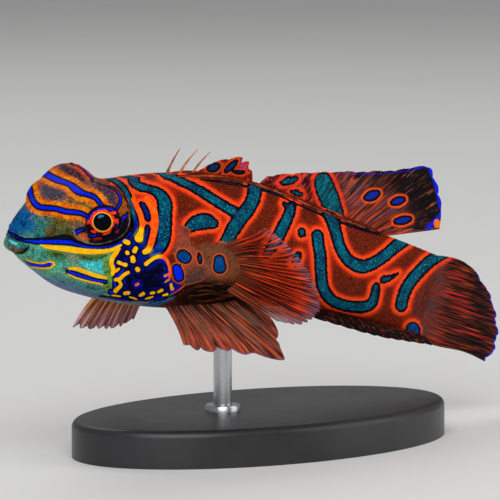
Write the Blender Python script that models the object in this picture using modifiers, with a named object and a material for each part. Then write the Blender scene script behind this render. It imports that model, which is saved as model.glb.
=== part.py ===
"""A life-size mandarinfish, swimming, held over a plain base by one short rod.

Metres, +Z up. The fish heads along -X and shows its left side to -Y.
The origin is the centre of the base's underside. Tables of sizes are in millimetres.
"""

import math

import bmesh
import bpy
from mathutils import Matrix, Vector

MODEL = "mandarinfish_model"
MM = 0.001
GAP = 0.3

# Where the snout starts, above the base's centre.
SNOUT = (-32.0, 1.6, 24.0)

# Line of the back bone, snout to tail tip: station, turn to the right side, drop, lean to the left, in degrees.
SPINE = (
    (0.0, -7.0, 2.0, 11.0),
    (12.0, -6.0, 3.0, 11.0),
    (20.0, -2.0, 5.0, 10.0),
    (28.0, 0.0, 9.0, 10.0),
    (36.0, 2.0, 13.0, 9.0),
    (45.0, 4.0, 16.0, 7.0),
    (55.0, 6.0, 18.0, 6.0),
    (72.0, 8.0, 21.0, 5.0),
)
SPINE_STEP = 0.25

# Body sections along that line: station, half width, height over the line, depth under it.
BODY = (
    (0.9, 1.2, 0.9, 0.8),
    (1.5, 2.0, 2.4, 1.4),
    (2.6, 2.8, 3.9, 2.4),
    (4.0, 3.8, 4.9, 3.4),
    (6.2, 5.0, 5.6, 4.8),
    (9.0, 5.8, 6.0, 5.7),
    (13.0, 6.6, 6.5, 6.5),
    (18.0, 6.8, 7.1, 7.0),
    (24.0, 6.2, 7.1, 7.0),
    (30.0, 5.2, 6.5, 6.4),
    (37.0, 4.1, 5.5, 5.6),
    (44.0, 2.9, 4.9, 5.1),
    (50.0, 1.9, 4.7, 5.0),
    (57.5, 0.9, 4.5, 4.8),
)
BODY_START = 0.9
BODY_END = 57.5
TAIL_ROUNDING = 1.2
BACK_NARROWING = 0.14
SIDE_FULLNESS = 0.86
BODY_RINGS = 44
BODY_SIDES = 36

# Cuts that part the body: station on the line and slant of the cut, in degrees.
NECK_CUT = (19.4, 27.0)
PEDUNCLE_CUT = (40.0, 0.0)

# Each eye: the orb's centre, then how far the ball stands from it along the way it looks.
EYE_STATION = 8.8
EYE_RISE = 4.0
EYE_OUT = 3.66
ORB_RADIUS = 3.1
EYE_RADIUS = 1.8
EYE_SUNK = 1.7
EYE_LOOK = (-0.28, 0.93, -0.23)
LID_THICKNESS = 0.34
BROW = (5.9, 3.9, 2.4)
BROW_RADIUS = 2.2


def smooth_row(table, station):
    """The row of a table at a station, by a smooth curve through its rows."""
    if station <= table[0][0]:
        return table[0][1:]
    if station >= table[-1][0]:
        return table[-1][1:]
    at = next(i for i in range(len(table) - 1) if station <= table[i + 1][0])
    low, high = table[at], table[at + 1]
    before, after = table[max(at - 1, 0)], table[min(at + 2, len(table) - 1)]
    span = high[0] - low[0]
    t = (station - low[0]) / span
    row = []
    for k in range(1, len(low)):
        start = (high[k] - before[k]) / (high[0] - before[0]) * span
        end = (after[k] - low[k]) / (after[0] - low[0]) * span
        a = 2 * t**3 - 3 * t**2 + 1
        b = t**3 - 2 * t**2 + t
        c = 3 * t**2 - 2 * t**3
        d = t**3 - t**2
        row.append(a * low[k] + b * start + c * high[k] + d * end)
    return tuple(row)


def directions(station):
    """Tailward, left and up for the fish at a station."""
    turn, drop, lean = (math.radians(v) for v in smooth_row(SPINE, station))
    tailward = Vector((math.cos(drop) * math.cos(turn), math.cos(drop) * math.sin(turn), -math.sin(drop)))
    level_left = Vector((math.sin(turn), -math.cos(turn), 0.0))
    level_up = level_left.cross(tailward)
    left = level_left * math.cos(lean) - level_up * math.sin(lean)
    up = level_up * math.cos(lean) + level_left * math.sin(lean)
    return tailward, left, up


def spine_points():
    """Points of the line at every SPINE_STEP, from a little before the snout."""
    point = Vector(SNOUT)
    points = [point.copy()]
    for i in range(int(SPINE[-1][0] / SPINE_STEP)):
        point = point + directions((i + 0.5) * SPINE_STEP)[0] * SPINE_STEP
        points.append(point.copy())
    return points


LINE = spine_points()


def line_point(station):
    """A point of the line, in millimetres. Before the snout it runs straight on."""
    if station < 0:
        return LINE[0] + directions(0.0)[0] * station
    place = min(station / SPINE_STEP, len(LINE) - 1.001)
    low = int(place)
    return LINE[low].lerp(LINE[low + 1], place - low)


def in_fish(station, out, rise):
    """A point beside the line: out to the fish's left and up its back."""
    _, left, up = directions(station)
    return line_point(station) + left * out + up * rise


def along(station, tailward, out, rise):
    """A step from a point of the line, along the fish's own directions there."""
    back, left, up = directions(station)
    return back * tailward + left * out + up * rise


def body_point(station, angle, grown=0.0):
    """A point of the skin. Angle is 0 on the back, 90 on the left side and 180 on the belly."""
    station = min(max(station, BODY_START), BODY_END)
    half_width, over, under = smooth_row(BODY, station)
    closing = (BODY_END - station) / TAIL_ROUNDING
    if closing < 1.0:
        half_width *= math.sqrt(max(1.0 - (1.0 - closing) ** 2, 0.0))
    side = math.sin(math.radians(angle))
    rise = math.cos(math.radians(angle))
    out = math.copysign(abs(side) ** SIDE_FULLNESS, side) * (1.0 - BACK_NARROWING * rise)
    height = over if rise > 0 else under
    return in_fish(station, (half_width + grown) * out, (height + grown) * rise)


def link(name, mesh):
    """A new object in the model's own collection."""
    made = bpy.data.objects.new(name, mesh)
    group = bpy.data.collections.get(MODEL)
    if group is None:
        group = bpy.data.collections.new(MODEL)
        bpy.context.scene.collection.children.link(group)
    group.objects.link(made)
    return made


def face_outward(shape):
    """Turns every face of a closed shape outwards."""
    shape.normal_update()
    bmesh.ops.recalc_face_normals(shape, faces=shape.faces)
    if shape.calc_volume(signed=True) < 0:
        bmesh.ops.reverse_faces(shape, faces=shape.faces)


def from_bmesh(name, shape):
    """An object from a bmesh in millimetres."""
    bmesh.ops.scale(shape, vec=(MM, MM, MM), verts=shape.verts)
    mesh = bpy.data.meshes.new(name)
    shape.to_mesh(mesh)
    shape.free()
    return link(name, mesh)


def settled(made):
    """Puts what the object's modifiers make in its own mesh."""
    graph = bpy.context.evaluated_depsgraph_get()
    mesh = bpy.data.meshes.new_from_object(made.evaluated_get(graph))
    made.modifiers.clear()
    made.data = mesh
    return made


def boolean(made, others, operation):
    """Joins or cuts an object with others, which are then removed."""
    group = bpy.data.collections.new(made.name + "_others")
    for other in others:
        group.objects.link(other)
    step = made.modifiers.new(operation.lower(), "BOOLEAN")
    step.operation = operation
    step.operand_type = "COLLECTION"
    step.collection = group
    step.solver = "EXACT"
    settled(made)
    for other in others:
        bpy.data.objects.remove(other)
    bpy.data.collections.remove(group)
    return keep_largest(made)


def keep_largest(made):
    """Drops all but the largest closed surface of a mesh."""
    shape = bmesh.new()
    shape.from_mesh(made.data)
    left = set(shape.verts)
    islands = []
    while left:
        todo = [left.pop()]
        island = list(todo)
        while todo:
            for edge in todo.pop().link_edges:
                for vert in edge.verts:
                    if vert in left:
                        left.remove(vert)
                        todo.append(vert)
                        island.append(vert)
        islands.append(island)
    islands.sort(key=len)
    for island in islands[:-1]:
        bmesh.ops.delete(shape, geom=island, context="VERTS")
    shape.to_mesh(made.data)
    shape.free()
    return made


def whole_body(name, grown=0.0):
    """The body in one piece, or the same grown by a little, as a cutter."""
    shape = bmesh.new()
    bmesh.ops.create_uvsphere(shape, u_segments=BODY_SIDES, v_segments=BODY_RINGS, radius=1.0)
    for vert in shape.verts:
        polar = math.acos(max(-1.0, min(1.0, vert.co.z)))
        share = (1.0 - math.cos(polar)) / 2
        share = 0.45 * share + 0.55 * polar / math.pi
        angle = math.degrees(math.atan2(vert.co.y, vert.co.x))
        station = BODY_START + share * (BODY_END - BODY_START)
        if min(share, 1 - share) < 1e-6:
            vert.co = in_fish(station - grown if share < 0.5 else station + grown, 0.0, 0.0)
        else:
            vert.co = body_point(station, angle, grown)
            vert.co += directions(station)[0] * grown * (2 * share - 1)
    face_outward(shape)
    return from_bmesh(name, shape)


def parted(name, whole, cuts):
    """The piece of the body between cuts. Each cut is a station, a slant and the side that is kept."""
    shape = bmesh.new()
    shape.from_mesh(whole.data)
    for (station, slant), kept in cuts:
        tailward, _, up = directions(station)
        normal = tailward * math.cos(math.radians(slant)) + up * math.sin(math.radians(slant))
        at = (line_point(station) + normal * (GAP / 2 * kept)) * MM
        geometry = shape.verts[:] + shape.edges[:] + shape.faces[:]
        bmesh.ops.bisect_plane(
            shape, geom=geometry, dist=1e-7, plane_co=at, plane_no=normal, clear_outer=kept < 0, clear_inner=kept > 0
        )
        bmesh.ops.holes_fill(shape, edges=[e for e in shape.edges if e.is_boundary], sides=0)
    bmesh.ops.triangulate(shape, faces=[f for f in shape.faces if len(f.verts) > 4])
    face_outward(shape)
    mesh = bpy.data.meshes.new(name)
    shape.to_mesh(mesh)
    shape.free()
    return link(name, mesh)


def ball(name, centre, radius, segments=20):
    shape = bmesh.new()
    bmesh.ops.create_uvsphere(shape, u_segments=segments, v_segments=segments * 2 // 3, radius=radius)
    bmesh.ops.translate(shape, vec=centre, verts=shape.verts)
    return from_bmesh(name, shape)


def tube(name, points, radii, sides=2):
    """A round strand through points, each with its own radius, with closed ends."""
    curve = bpy.data.curves.new(name, "CURVE")
    curve.dimensions = "3D"
    curve.bevel_depth = MM
    curve.bevel_resolution = sides
    curve.use_fill_caps = True
    spline = curve.splines.new("POLY")
    spline.points.add(len(points) - 1)
    for spot, point, radius in zip(spline.points, points, radii):
        spot.co = (*(point * MM), 1.0)
        spot.radius = radius
    made = link(name + "_path", curve)
    graph = bpy.context.evaluated_depsgraph_get()
    mesh = bpy.data.meshes.new_from_object(made.evaluated_get(graph))
    bpy.data.objects.remove(made)
    shape = bmesh.new()
    shape.from_mesh(mesh)
    bmesh.ops.remove_doubles(shape, verts=shape.verts, dist=1e-6)
    face_outward(shape)
    shape.to_mesh(mesh)
    shape.free()
    return link(name, mesh)


def fin_plate(name, rays, rows, root, tip, thickness, bow=None, notch=0.05, root_share=0.0):
    """A fin: a thin plate from root(u) to tip(u), thicker along each ray and thinner at the margin.

    thickness is (membrane, ray, root) in millimetres, and bow(u, v) moves a point off the straight ray.
    """
    membrane, ray, thick = thickness
    shape = bmesh.new()
    columns = 2 * (rays - 1)
    bmesh.ops.create_grid(shape, x_segments=columns, y_segments=rows, size=1.0)
    fatness = {}
    for vert in shape.verts:
        u = (vert.co.x + 1) / 2
        v = (vert.co.y + 1) / 2
        on_ray = 1.0 if round(u * columns) % 2 == 0 else 0.0
        reach = v * (1.0 - notch * (1.0 - on_ray) * v)
        point = root(u).lerp(tip(u), reach)
        if bow:
            point = point + bow(u, v)
        vert.co = point
        thin = membrane + (ray - membrane) * on_ray
        if v < root_share:
            thin = thin + (thick - thin) * (1.0 - v / root_share)
        fade = min(1.0, (1.0 - v) / 0.25)
        fatness[vert.index] = thin * (0.55 + 0.45 * fade)
    bmesh.ops.triangulate(shape, faces=shape.faces, quad_method="FIXED")
    made = from_bmesh(name, shape)
    widest = max(fatness.values())
    group = made.vertex_groups.new(name="thickness")
    for index, value in fatness.items():
        group.add([index], value / widest, "REPLACE")
    step = made.modifiers.new("thickness", "SOLIDIFY")
    step.thickness = widest * MM
    step.offset = 0.0
    step.vertex_group = "thickness"
    step.thickness_vertex_group = 0.0
    settled(made)
    made.vertex_groups.clear()
    shape = bmesh.new()
    shape.from_mesh(made.data)
    face_outward(shape)
    shape.to_mesh(made.data)
    shape.free()
    return made


def clear_of_body(made):
    """Cuts a fin back to the usual gap from the body, whose grown copy is the cutter."""
    return boolean(made, [whole_body("clearance", GAP)], "DIFFERENCE")


def eye_centre(side):
    return in_fish(EYE_STATION, EYE_OUT * side, EYE_RISE) + along(EYE_STATION, *eye_look(side)) * EYE_SUNK


def eye_look(side):
    forward, out, rise = EYE_LOOK
    return forward, out * side, rise


def eyeball(side, name):
    return ball(name, eye_centre(side), EYE_RADIUS, 18)


def lid(side):
    """The fold of skin round the eye, as a ring on the orb."""
    look = along(EYE_STATION, *eye_look(side)).normalized()
    across = look.cross(Vector((0, 0, 1))).normalized()
    over = look.cross(across)
    centre = in_fish(EYE_STATION, EYE_OUT * side, EYE_RISE)
    reach = (EYE_SUNK**2 - EYE_RADIUS**2 + ORB_RADIUS**2) / (2 * EYE_SUNK)
    radius = math.sqrt(ORB_RADIUS**2 - reach**2) + LID_THICKNESS * 0.7
    shape = bmesh.new()
    count = 20
    ring = []
    for i in range(6):
        turn = 2 * math.pi * i / 6
        spot = radius + LID_THICKNESS * math.cos(turn)
        ring.append(shape.verts.new((spot, 0, LID_THICKNESS * math.sin(turn))))
    edges = [shape.edges.new((ring[i], ring[(i + 1) % 6])) for i in range(6)]
    bmesh.ops.spin(
        shape, geom=ring + edges, cent=(0, 0, 0), axis=(0, 0, 1), angle=2 * math.pi, steps=count, use_merge=True
    )
    bmesh.ops.remove_doubles(shape, verts=shape.verts, dist=1e-4)
    face_outward(shape)
    turned = Matrix((across, over, look)).transposed().to_4x4()
    turned.translation = centre + look * (reach - LID_THICKNESS * 0.25)
    bmesh.ops.transform(shape, matrix=turned, verts=shape.verts)
    return from_bmesh("lid", shape)


LIP_HALF_WIDTH = 1.5
LIP_CORNER = 2.7
LIP_FRONT = 1.1
GAPE_RISE = 0.35

# The fold that runs back from the mouth under each eye: station and angle on the skin.
FOLD = ((0.9, 79.0), (1.6, 77.5), (2.9, 74.7), (4.8, 73.1), (6.0, 75.6), (7.4, 83.5))
FOLD_POINTS = 9


def lip(rise, radius, forward):
    """A rounded lip round the front of the mouth, from corner to corner."""
    points = []
    radii = []
    for i in range(9):
        turn = math.radians(-90 + 180 * i / 8)
        station = LIP_CORNER - (LIP_CORNER - LIP_FRONT + forward) * math.cos(turn)
        points.append(in_fish(station, LIP_HALF_WIDTH * math.sin(turn), rise - 0.12 * (1 - math.cos(turn))))
        radii.append(radius * (0.55 + 0.45 * math.cos(turn)))
    return tube("lip", points, radii, 2)


def mouth_slit():
    """The cutters for the line between the lips and for the fold under each eye."""
    cutters = []
    for side in (1, -1):
        points = [in_fish(LIP_FRONT - 1.4, 0.02 * side, GAPE_RISE), in_fish(LIP_FRONT - 0.5, 0.9 * side, GAPE_RISE)]
        for i in range(FOLD_POINTS):
            station = FOLD[0][0] + (FOLD[-1][0] - FOLD[0][0]) * i / (FOLD_POINTS - 1)
            points.append(body_point(station, smooth_row(FOLD, station)[0] * side))
        cutters.append(tube("fold", points, [0.28] * (len(points) - 1) + [0.12], 1))
    return cutters


NOSTRIL = (3.4, 48.5)


def nostril(side):
    station, angle = NOSTRIL
    base = body_point(station, angle * side)
    outward = (base - in_fish(station, 0, 1.5)).normalized()
    return tube("nostril", [base - outward * 0.5, base + outward * 0.3], [0.3, 0.22], 1)


def head_node(whole):
    head = parted("head", whole, ((NECK_CUT, -1),))
    pieces = []
    for side in (1, -1):
        pieces.append(ball("orb", in_fish(EYE_STATION, EYE_OUT * side, EYE_RISE), ORB_RADIUS))
        pieces.append(ball("brow", in_fish(BROW[0], BROW[2] * side, BROW[1]), BROW_RADIUS))
        pieces.append(lid(side))
        pieces.append(nostril(side))
    pieces.append(lip(0.75, 0.5, 0.0))
    pieces.append(lip(-0.4, 0.75, 0.0))
    boolean(head, pieces, "UNION")
    cutters = [ball("socket", eye_centre(side), EYE_RADIUS + GAP) for side in (1, -1)]
    boolean(head, cutters + mouth_slit(), "DIFFERENCE")
    return head


def back_point(station, lift=0.0):
    return in_fish(station, 0.0, smooth_row(BODY, station)[1] + lift)


def belly_point(station, lift=0.0):
    return in_fish(station, 0.0, -smooth_row(BODY, station)[2] + lift)


# First dorsal fin: three free spines, then a low membrane, all on one fold of skin.
# Feet are stations. Tips are station and rise. The membrane's margin is share of its base, station and rise.
SPINE_FEET = (18.1, 19.6, 21.1)
SPINE_TIPS = ((19.2, 10.0), (21.3, 10.0), (22.8, 9.8))
SHEATH_START = 17.7
FIRST_DORSAL = (20.8, 28.4)
FIRST_MARGIN = (
    (0.0, 21.3, 7.7),
    (0.25, 22.8, 8.3),
    (0.42, 24.0, 8.8),
    (0.66, 26.4, 9.5),
    (0.82, 27.5, 8.9),
    (1.0, 28.6, 7.6),
)


def first_dorsal():
    start, end = FIRST_DORSAL

    def root(u):
        return back_point(start + (end - start) * u, -0.6)

    def tip(u):
        station, rise = smooth_row(FIRST_MARGIN, u)
        return in_fish(station, 0.0, rise)

    fin = fin_plate("dorsal_fin_first", 6, 4, root, tip, (0.5, 0.75, 0.9), notch=0.14)
    stations = [SHEATH_START + (end - SHEATH_START) * i / 8 for i in range(9)]
    sheath = tube("sheath", [back_point(s, 0.25) for s in stations], [0.32] + [0.5] * 7 + [0.32], 1)
    spines = []
    for foot, (tip_station, tip_rise) in zip(SPINE_FEET, SPINE_TIPS):
        base = smooth_row(BODY, foot)[1] + 0.2
        points = []
        for i in range(5):
            share = i / 4
            points.append(in_fish(foot + (tip_station - foot) * share**1.4, 0.0, base + (tip_rise - base) * share))
        spines.append(tube("spine", points, [0.3, 0.27, 0.24, 0.2, 0.1], 1))
    boolean(fin, [sheath] + spines, "UNION")
    return clear_of_body(fin)


# Second dorsal fin: its base, then its margin as share of the base, station and rise.
SECOND_DORSAL = (28.9, 47.2)
SECOND_MARGIN = (
    (0.0, 30.2, 7.9),
    (0.12, 32.6, 8.5),
    (0.27, 35.7, 9.2),
    (0.42, 39.3, 10.0),
    (0.57, 43.7, 11.0),
    (0.7, 47.8, 12.2),
    (0.8, 51.6, 13.6),
    (0.88, 54.2, 11.4),
    (0.95, 55.4, 9.0),
    (1.0, 55.5, 7.1),
)


def second_dorsal():
    start, end = SECOND_DORSAL

    def root(u):
        return back_point(start + (end - start) * u, -0.6)

    def tip(u):
        station, rise = smooth_row(SECOND_MARGIN, u)
        return in_fish(station, 0.0, rise)

    return clear_of_body(fin_plate("dorsal_fin_second", 9, 6, root, tip, (0.5, 0.8, 1.0), None, 0.03, 0.2))


# Anal fin, laid back along the belly and a little to the left: share of its base, station, out and rise.
ANAL = (35.0, 53.5)
ANAL_MARGIN = (
    (0.0, 38.5, 0.2, -6.1),
    (0.3, 45.4, 0.5, -6.3),
    (0.6, 52.0, 0.9, -6.3),
    (1.0, 60.0, 1.3, -5.5),
)


def anal():
    start, end = ANAL

    def root(u):
        return belly_point(start + (end - start) * u, 0.6)

    def tip(u):
        return in_fish(*smooth_row(ANAL_MARGIN, u))

    return clear_of_body(fin_plate("anal_fin", 9, 4, root, tip, (0.5, 0.75, 0.9), None, 0.06, 0.2))


# Tail fin, from its upper to its lower ray: share, station and rise of the margin.
CAUDAL_ROOT = 56.7
CAUDAL_ROOT_INSET = 0.15
CAUDAL_MARGIN = (
    (0.0, 64.3, 3.8),
    (0.05, 65.6, 3.4),
    (0.1, 66.6, 2.8),
    (0.2, 67.2, 1.9),
    (0.3, 67.8, 1.0),
    (0.45, 69.0, -0.3),
    (0.6, 69.7, -1.2),
    (0.75, 70.2, -2.4),
    (0.88, 69.9, -3.6),
    (1.0, 69.2, -4.8),
)


def caudal():
    over, under = smooth_row(BODY, CAUDAL_ROOT)[1:]

    def root(u):
        high = over - CAUDAL_ROOT_INSET
        low = -under + CAUDAL_ROOT_INSET
        return in_fish(CAUDAL_ROOT, 0.0, high + (low - high) * u)

    def tip(u):
        station, rise = smooth_row(CAUDAL_MARGIN, u)
        return in_fish(station, 0.0, rise)

    return clear_of_body(fin_plate("caudal_fin", 11, 8, root, tip, (0.5, 0.8, 1.2), None, 0.03, 0.3))


# Pectoral fin, from its upper to its lower ray: share, then station, out and rise of the margin.
PECTORAL_MARGIN = (
    (0.0, 25.7, 8.0, 3.9),
    (0.12, 27.7, 8.8, 2.8),
    (0.25, 29.8, 9.3, 1.3),
    (0.4, 31.8, 9.8, -0.6),
    (0.56, 33.4, 10.0, -2.9),
    (0.68, 33.8, 10.0, -4.0),
    (0.8, 33.2, 9.9, -5.0),
    (0.9, 31.8, 9.7, -5.9),
    (1.0, 28.9, 9.4, -5.8),
)
PECTORAL_STATION = 21.4
PECTORAL_ANGLES = (79.0, 117.0)


def pectoral(side, name):
    high, low = PECTORAL_ANGLES

    def root(u):
        station = PECTORAL_STATION + 0.8 * u
        skin = body_point(station, (high + (low - high) * u) * side)
        return skin - along(station, 0.9, 0.7 * side, 0)

    def tip(u):
        station, out, rise = smooth_row(PECTORAL_MARGIN, u)
        return in_fish(station, out * side, rise)

    def bow(u, v):
        return along(PECTORAL_STATION, 0, 0.9 * side * math.sin(math.pi * v), 0)

    return clear_of_body(fin_plate(name, 15, 7, root, tip, (0.5, 0.75, 1.5), bow, 0.04, 0.36))


# Pelvic fins, front to rear ray: share, then station, out and rise of the margin.
PELVIC_LEFT = (
    (0.0, 19.0, 7.0, -9.5),
    (0.16, 20.6, 7.4, -10.0),
    (0.32, 22.1, 7.8, -10.0),
    (0.48, 24.0, 8.0, -9.8),
    (0.71, 27.8, 8.0, -10.1),
    (0.86, 32.4, 8.0, -10.4),
    (0.93, 31.3, 7.6, -8.1),
    (1.0, 29.6, 7.0, -6.6),
)
PELVIC_RIGHT = (
    (0.0, 15.0, 9.5, -12.6),
    (0.25, 17.6, 10.0, -12.9),
    (0.6, 21.6, 10.0, -12.6),
    (0.8, 22.3, 9.5, -11.8),
    (1.0, 22.0, 9.0, -10.8),
)
PELVIC_STATIONS = (16.8, 22.6)
PELVIC_ANGLES = (146.0, 138.0)
PELVIC_BOW = 0.7


def pelvic(side, name, margin):
    start, end = PELVIC_STATIONS

    def root(u):
        station = start + (end - start) * u
        angle = PELVIC_ANGLES[0] + (PELVIC_ANGLES[1] - PELVIC_ANGLES[0]) * u
        return body_point(station, angle * side) + along(station, 0, -0.5 * side, 0.8)

    def tip(u):
        station, out, rise = smooth_row(margin, u)
        return in_fish(station, out * side, rise)

    def bow(u, v):
        return along(start, 0, PELVIC_BOW * side * math.sin(math.pi * v), 0)

    return clear_of_body(fin_plate(name, 8, 7, root, tip, (0.5, 0.8, 1.2), bow, 0.09, 0.25))


# Rear flap of each gill cover: share down its front edge, then station of the front and the rear edge.
FLAP_ROWS = ((0.0, 17.0, 18.2), (0.3, 16.6, 19.2), (0.5, 16.4, 19.6), (0.8, 17.0, 20.9), (1.0, 17.8, 19.2))
FLAP_ANGLES = (62.0, 116.0)
FLAP_OVER = 0.62


def gill_flap(side, name):
    high, low = FLAP_ANGLES

    def edge(u, which):
        station = smooth_row(FLAP_ROWS, u)[which]
        return body_point(station, (high + (low - high) * u) * side, FLAP_OVER)

    return fin_plate(name, 6, 4, lambda u: edge(u, 0), lambda u: edge(u, 1), (0.55, 0.55, 0.6), None, 0.02)


BASE_LENGTH = 46.0
BASE_WIDTH = 27.0
BASE_HEIGHT = 4.0
ROD_RADIUS = 1.0
ROD_STATION = 28.5


def stand_base():
    """An oval base with a rounded upper edge."""
    shape = bmesh.new()
    bmesh.ops.create_cone(
        shape, cap_ends=True, segments=40, radius1=BASE_LENGTH / 2, radius2=BASE_LENGTH / 2, depth=BASE_HEIGHT
    )
    bmesh.ops.scale(shape, vec=(1, BASE_WIDTH / BASE_LENGTH, 1), verts=shape.verts)
    bmesh.ops.translate(shape, vec=(0, 0, BASE_HEIGHT / 2), verts=shape.verts)
    rim = [e for e in shape.edges if all(v.co.z > BASE_HEIGHT - 0.01 for v in e.verts)]
    bmesh.ops.bevel(shape, geom=rim, offset=0.8, segments=2, profile=0.5, affect="EDGES", material=-1)
    return from_bmesh("stand_base", shape)


def stand_rod():
    """The rod from the base up to the belly, with its top cut to the belly's slope."""
    under = belly_point(ROD_STATION)
    foot = Vector((under.x, under.y, BASE_HEIGHT + GAP))
    rod = tube("stand_rod", [foot, under + Vector((0, 0, 2.5))], [ROD_RADIUS, ROD_RADIUS], 3)
    return clear_of_body(rod)


# Colour, roughness and metallic value of each kind of piece.
FINISHES = {
    "skin_head": ((0.05, 0.32, 0.38), 0.35, 0.0),
    "skin_body": ((0.62, 0.13, 0.03), 0.35, 0.0),
    "fin_red": ((0.55, 0.12, 0.06), 0.4, 0.0),
    "fin_brown": ((0.36, 0.13, 0.08), 0.4, 0.0),
    "eye": ((0.02, 0.02, 0.03), 0.1, 0.0),
    "stand_dark": ((0.03, 0.03, 0.035), 0.35, 0.0),
    "rod_steel": ((0.6, 0.6, 0.62), 0.25, 1.0),
}


def finish(made, kind):
    colour, roughness, metallic = FINISHES[kind]
    material = bpy.data.materials.get(kind) or bpy.data.materials.new(kind)
    material.use_nodes = True
    shader = material.node_tree.nodes["Principled BSDF"]
    shader.inputs["Base Color"].default_value = (*colour, 1.0)
    shader.inputs["Roughness"].default_value = roughness
    shader.inputs["Metallic"].default_value = metallic
    made.data.materials.clear()
    made.data.materials.append(material)
    made.data.shade_smooth()
    made.data.set_sharp_from_angle(angle=math.radians(40))


def main():
    for old in list(bpy.data.objects):
        bpy.data.objects.remove(old)
    whole = whole_body("whole")
    finish(head_node(whole), "skin_head")
    finish(parted("torso", whole, ((NECK_CUT, 1), (PEDUNCLE_CUT, -1))), "skin_body")
    finish(parted("tail", whole, ((PEDUNCLE_CUT, 1),)), "skin_body")
    bpy.data.objects.remove(whole)
    for side, word in ((1, "left"), (-1, "right")):
        finish(eyeball(side, "eye_" + word), "eye")
        finish(gill_flap(side, "gill_flap_" + word), "fin_brown")
        finish(pectoral(side, "pectoral_fin_" + word), "fin_red")
    finish(pelvic(1, "pelvic_fin_left", PELVIC_LEFT), "fin_brown")
    finish(pelvic(-1, "pelvic_fin_right", PELVIC_RIGHT), "fin_brown")
    finish(first_dorsal(), "fin_red")
    finish(second_dorsal(), "fin_red")
    finish(anal(), "fin_brown")
    finish(caudal(), "fin_red")
    finish(stand_base(), "stand_dark")
    finish(stand_rod(), "rod_steel")


if __name__ == "__main__":
    main()
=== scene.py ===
"""The finished look of a life-size mandarinfish model: skin, fins, eyes, stand, camera and light.

The fish heads along -X and shows its left side to -Y. Shapes are worked out in millimetres and written in
metres. Places read off the photograph are pixels of its 500 by 500 frame, counted from its top left corner. A
stroke of paint is a row of points with a half width, in those pixels, thrown onto the model from the camera.
"""

import math
from contextlib import contextmanager

import bmesh
import bpy
import numpy as np
from mathutils import Matrix, Vector
from mathutils.bvhtree import BVHTree


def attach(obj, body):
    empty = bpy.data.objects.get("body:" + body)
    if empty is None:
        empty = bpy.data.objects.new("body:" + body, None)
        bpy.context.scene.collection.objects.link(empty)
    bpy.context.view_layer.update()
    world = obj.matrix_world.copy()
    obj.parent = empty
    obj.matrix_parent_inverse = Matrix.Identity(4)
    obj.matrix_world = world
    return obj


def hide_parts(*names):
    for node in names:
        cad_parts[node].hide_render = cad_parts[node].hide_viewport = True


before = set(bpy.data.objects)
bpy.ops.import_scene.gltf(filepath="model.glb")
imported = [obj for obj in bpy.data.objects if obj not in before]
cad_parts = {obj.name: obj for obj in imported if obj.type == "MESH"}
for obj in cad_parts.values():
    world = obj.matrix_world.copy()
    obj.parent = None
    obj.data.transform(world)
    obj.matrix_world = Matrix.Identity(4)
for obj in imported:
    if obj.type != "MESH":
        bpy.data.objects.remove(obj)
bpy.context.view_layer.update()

MM = 0.001
FAR = 99.0
TINY = 1e-9

# The camera, round the point that the middle of the photograph shows.
VIEW_TARGET = Vector((-1.93, -0.48, 21.29))
VIEW_AZIMUTH = math.radians(-36.0)
VIEW_ELEVATION = math.radians(6.0)
VIEW_DISTANCE = 400.0
LENS = 267.8
SENSOR = 36.0
FRAME_PIXELS = 500
PIXELS_PER_MM = 9.3
MISS_SEARCH = 24
PATH_SPLITS = 4

VIEW_BACK = Vector(
    (
        math.sin(VIEW_AZIMUTH) * math.cos(VIEW_ELEVATION),
        -math.cos(VIEW_AZIMUTH) * math.cos(VIEW_ELEVATION),
        math.sin(VIEW_ELEVATION),
    )
)
VIEW_RIGHT = Vector((math.cos(VIEW_AZIMUTH), math.sin(VIEW_AZIMUTH), 0.0))
VIEW_UP = VIEW_BACK.cross(VIEW_RIGHT)
VIEW_EYE = VIEW_TARGET + VIEW_BACK * VIEW_DISTANCE
FOCAL_PIXELS = FRAME_PIXELS * LENS / SENSOR

# Where the snout starts, then the line of the back bone: station, then turn to the right, drop and lean
# in degrees.
SNOUT = (-32.0, 1.6, 24.0)
SPINE = (
    (0.0, -7.0, 2.0, 11.0), (12.0, -6.0, 3.0, 11.0), (20.0, -2.0, 5.0, 10.0), (28.0, 0.0, 9.0, 10.0),
    (36.0, 2.0, 13.0, 9.0), (45.0, 4.0, 16.0, 7.0), (55.0, 6.0, 18.0, 6.0), (72.0, 8.0, 21.0, 5.0),
)
SPINE_STEP = 0.25
POINTS_AT_ONCE = 8000

# Body sections along that line: station, half width, height over the line, depth under it.
BODY = (
    (0.9, 1.2, 0.9, 0.8), (1.5, 2.0, 2.4, 1.4), (2.6, 2.8, 3.9, 2.4), (4.0, 3.8, 4.9, 3.4),
    (6.2, 5.0, 5.6, 4.8), (9.0, 5.8, 6.0, 5.7), (13.0, 6.6, 6.5, 6.5), (18.0, 6.8, 7.1, 7.0),
    (24.0, 6.2, 7.1, 7.0), (30.0, 5.2, 6.5, 6.4), (37.0, 4.1, 5.5, 5.6), (44.0, 2.9, 4.9, 5.1),
    (50.0, 1.8, 4.7, 5.0), (57.5, 0.6, 4.5, 4.8),
)
BODY_START = 0.9
BODY_END = 57.5
TAIL_ROUNDING = 1.2
BACK_NARROWING = 0.14
SIDE_FULLNESS = 0.86

EYE_STATION = 8.8
EYE_RISE = 4.0
EYE_OUT = 3.66
EYE_LOOK = (-0.28, 0.93, -0.09)
EYE_SUNK = 1.48
EYE_RADIUS = 2.05
ORB_RADIUS = 3.2


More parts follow.
